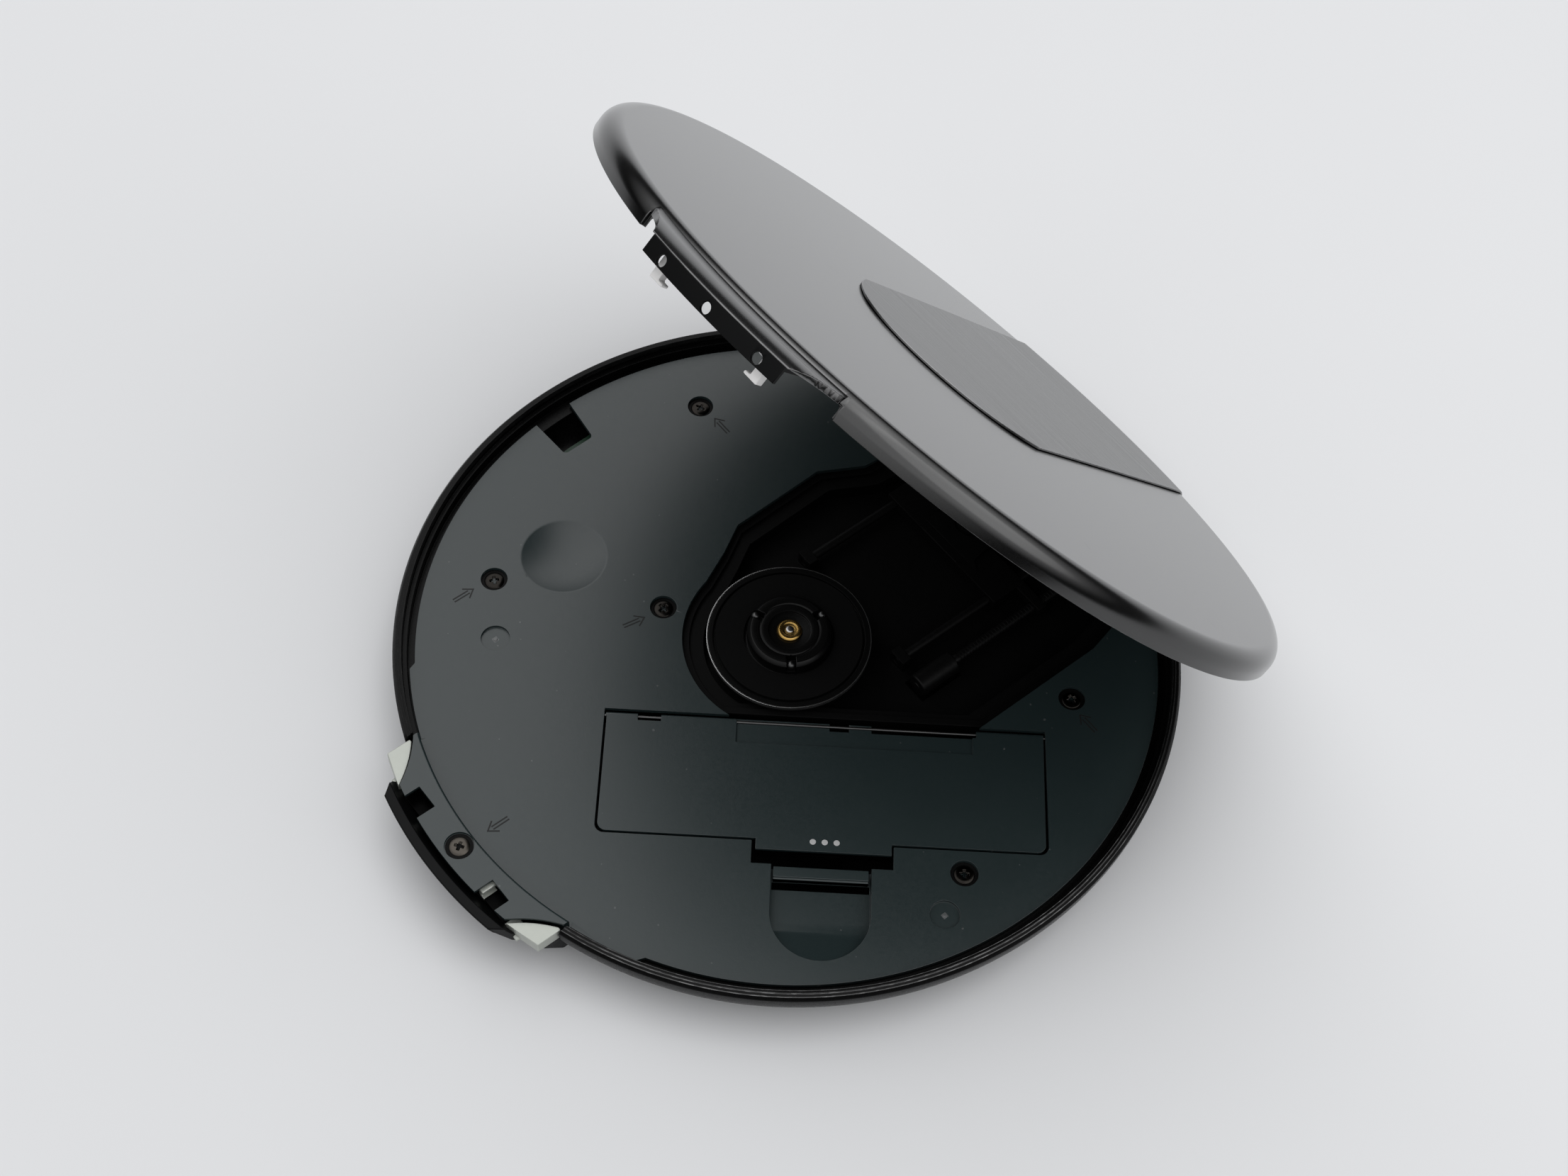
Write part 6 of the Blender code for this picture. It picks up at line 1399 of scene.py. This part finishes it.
for angle, button in zip(KEYS, buttons):
    fit(button, "black", f"key_{angle}", f"button_{angle}")
fit(hold_key, "black", "hold", "hold_switch")
fit(hinge_pin, "steel", "base", "hinge_pin")
fit(door_rod, "steel_dark", "base", "door_hinge_rod")
fit(coil, "steel", "base", "hinge_spring")
for made in screws[:-1]:
    fit(made, "black_screw", "base")
fit(screws[-1], "screw", "base")
for made in seat_shade_discs:
    fit(made, "inner", "base")
for made in arrows:
    fit(made, "marks", "base")
for name, look in (("battery_cell", "wrap"), ("battery_frame", "inner"),
                   ("circuit_board", "board"), ("switch_board", "board"),
                   ("contact_negative", "brass"), ("contact_positive", "brass")):
    fit(copied(name, name + "_eased", 0.04), look, "base", name)
print("all pieces ride on their bodies")

# %% [markdown]
# ## Floor, light and camera
# The player stands on a pale table under two broad soft lamps. The sky is dark near the
# horizon and bright above, as in a room with a pale ceiling, so that the lid's roll and the
# rim stay dark while colours stay close to what is written. The camera looks down with the
# front towards the lower left, as in the photograph, with a normal lens and a slight roll.

# %% Table
TABLE_SIZE = 60
let_go()
bpy.ops.mesh.primitive_plane_add(size=TABLE_SIZE, location=SOLE_DROP * MM)
table_top = bpy.context.object
table_top.name = "table_top"
pale = Finish("pale_table", specular=0.2)
paper = pale.noise(9, 3)
pale.wear(pale.mix(paper, (0.685, 0.69, 0.70, 1), (0.715, 0.72, 0.73, 1)), 0.75)
table_top.data.materials.append(pale.material)
table_top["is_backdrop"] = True
print("table top at", round(table_top.location.z / MM, 2), "mm")

# %% Sky and lamps
SKY = ((0.2, 0.015), (0.62, 1.0))
LAMPS = (("side_lamp", (0.50, 0.30, 0.80), 1.0, 1.7),
         ("ceiling_lamp", (-0.42, 0.25, 0.95), 1.5, 3.2))

sky = bpy.data.worlds.new("studio_ceiling")
bpy.context.scene.world = sky
sky.use_nodes = True
tree = sky.node_tree
way = tree.nodes.new("ShaderNodeTexCoord")
parts = tree.nodes.new("ShaderNodeSeparateXYZ")
ceiling = tree.nodes.new("ShaderNodeValToRGB")
tree.links.new(way.outputs["Generated"], parts.inputs[0])
tree.links.new(parts.outputs["Z"], ceiling.inputs["Fac"])
tree.links.new(ceiling.outputs["Color"], tree.nodes["Background"].inputs["Color"])
for stop, (spot, level) in zip(ceiling.color_ramp.elements, SKY):
    stop.position = spot
    stop.color = (level * 0.985, level * 0.99, level, 1)

for name, place, size, energy in LAMPS:
    bpy.ops.object.light_add(type="AREA", location=place)
    lamp = bpy.context.object
    lamp.name = name
    lamp.data.shape = "DISK"
    lamp.data.size = size
    lamp.data.energy = energy
    lamp.rotation_euler = Vector(place).to_track_quat("Z", "Y").to_euler()
    print(name, "at", place)

# %% Camera
DISTANCE, ROUND, HEIGHT, ROLL_ANGLE = 380.348, 47.35, 56.96, 4.97
AIM = Vector((-7.113, 4.448, RIM))
FRAME_WIDTH, FOCAL_PIXELS, SENSOR = 2212, 3174, 36

turn, tilt, roll = radians(ROUND), radians(HEIGHT), radians(ROLL_ANGLE)
back = Vector((cos(tilt) * sin(turn), -cos(tilt) * cos(turn), sin(tilt)))
level = (-back).cross(Vector((0, 0, 1))).normalized()
upright = level.cross(-back)
right_way = level * cos(roll) + upright * sin(roll)
up_way = upright * cos(roll) - level * sin(roll)
bpy.ops.object.camera_add()
camera = bpy.context.object
camera.name = "camera"
camera.data.sensor_width = SENSOR
camera.data.lens = FOCAL_PIXELS / FRAME_WIDTH * SENSOR
camera.data.clip_start = 0.01
axes = Matrix((right_way, up_way, back)).transposed().to_4x4()
camera.matrix_world = shift(AIM + back * DISTANCE) @ axes
bpy.context.scene.camera = camera
bpy.context.scene.view_settings.view_transform = "Standard"
print("camera lens", round(camera.data.lens, 2))

# %% Sizes, and the end
final_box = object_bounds()
with_sizes = {"cad": [list(corner) for corner in cad_box],
              "visual": [list(corner) for corner in final_box]}
for name, corners in with_sizes.items():
    print(name, [[round(part / MM, 2) for part in corner] for corner in corners])
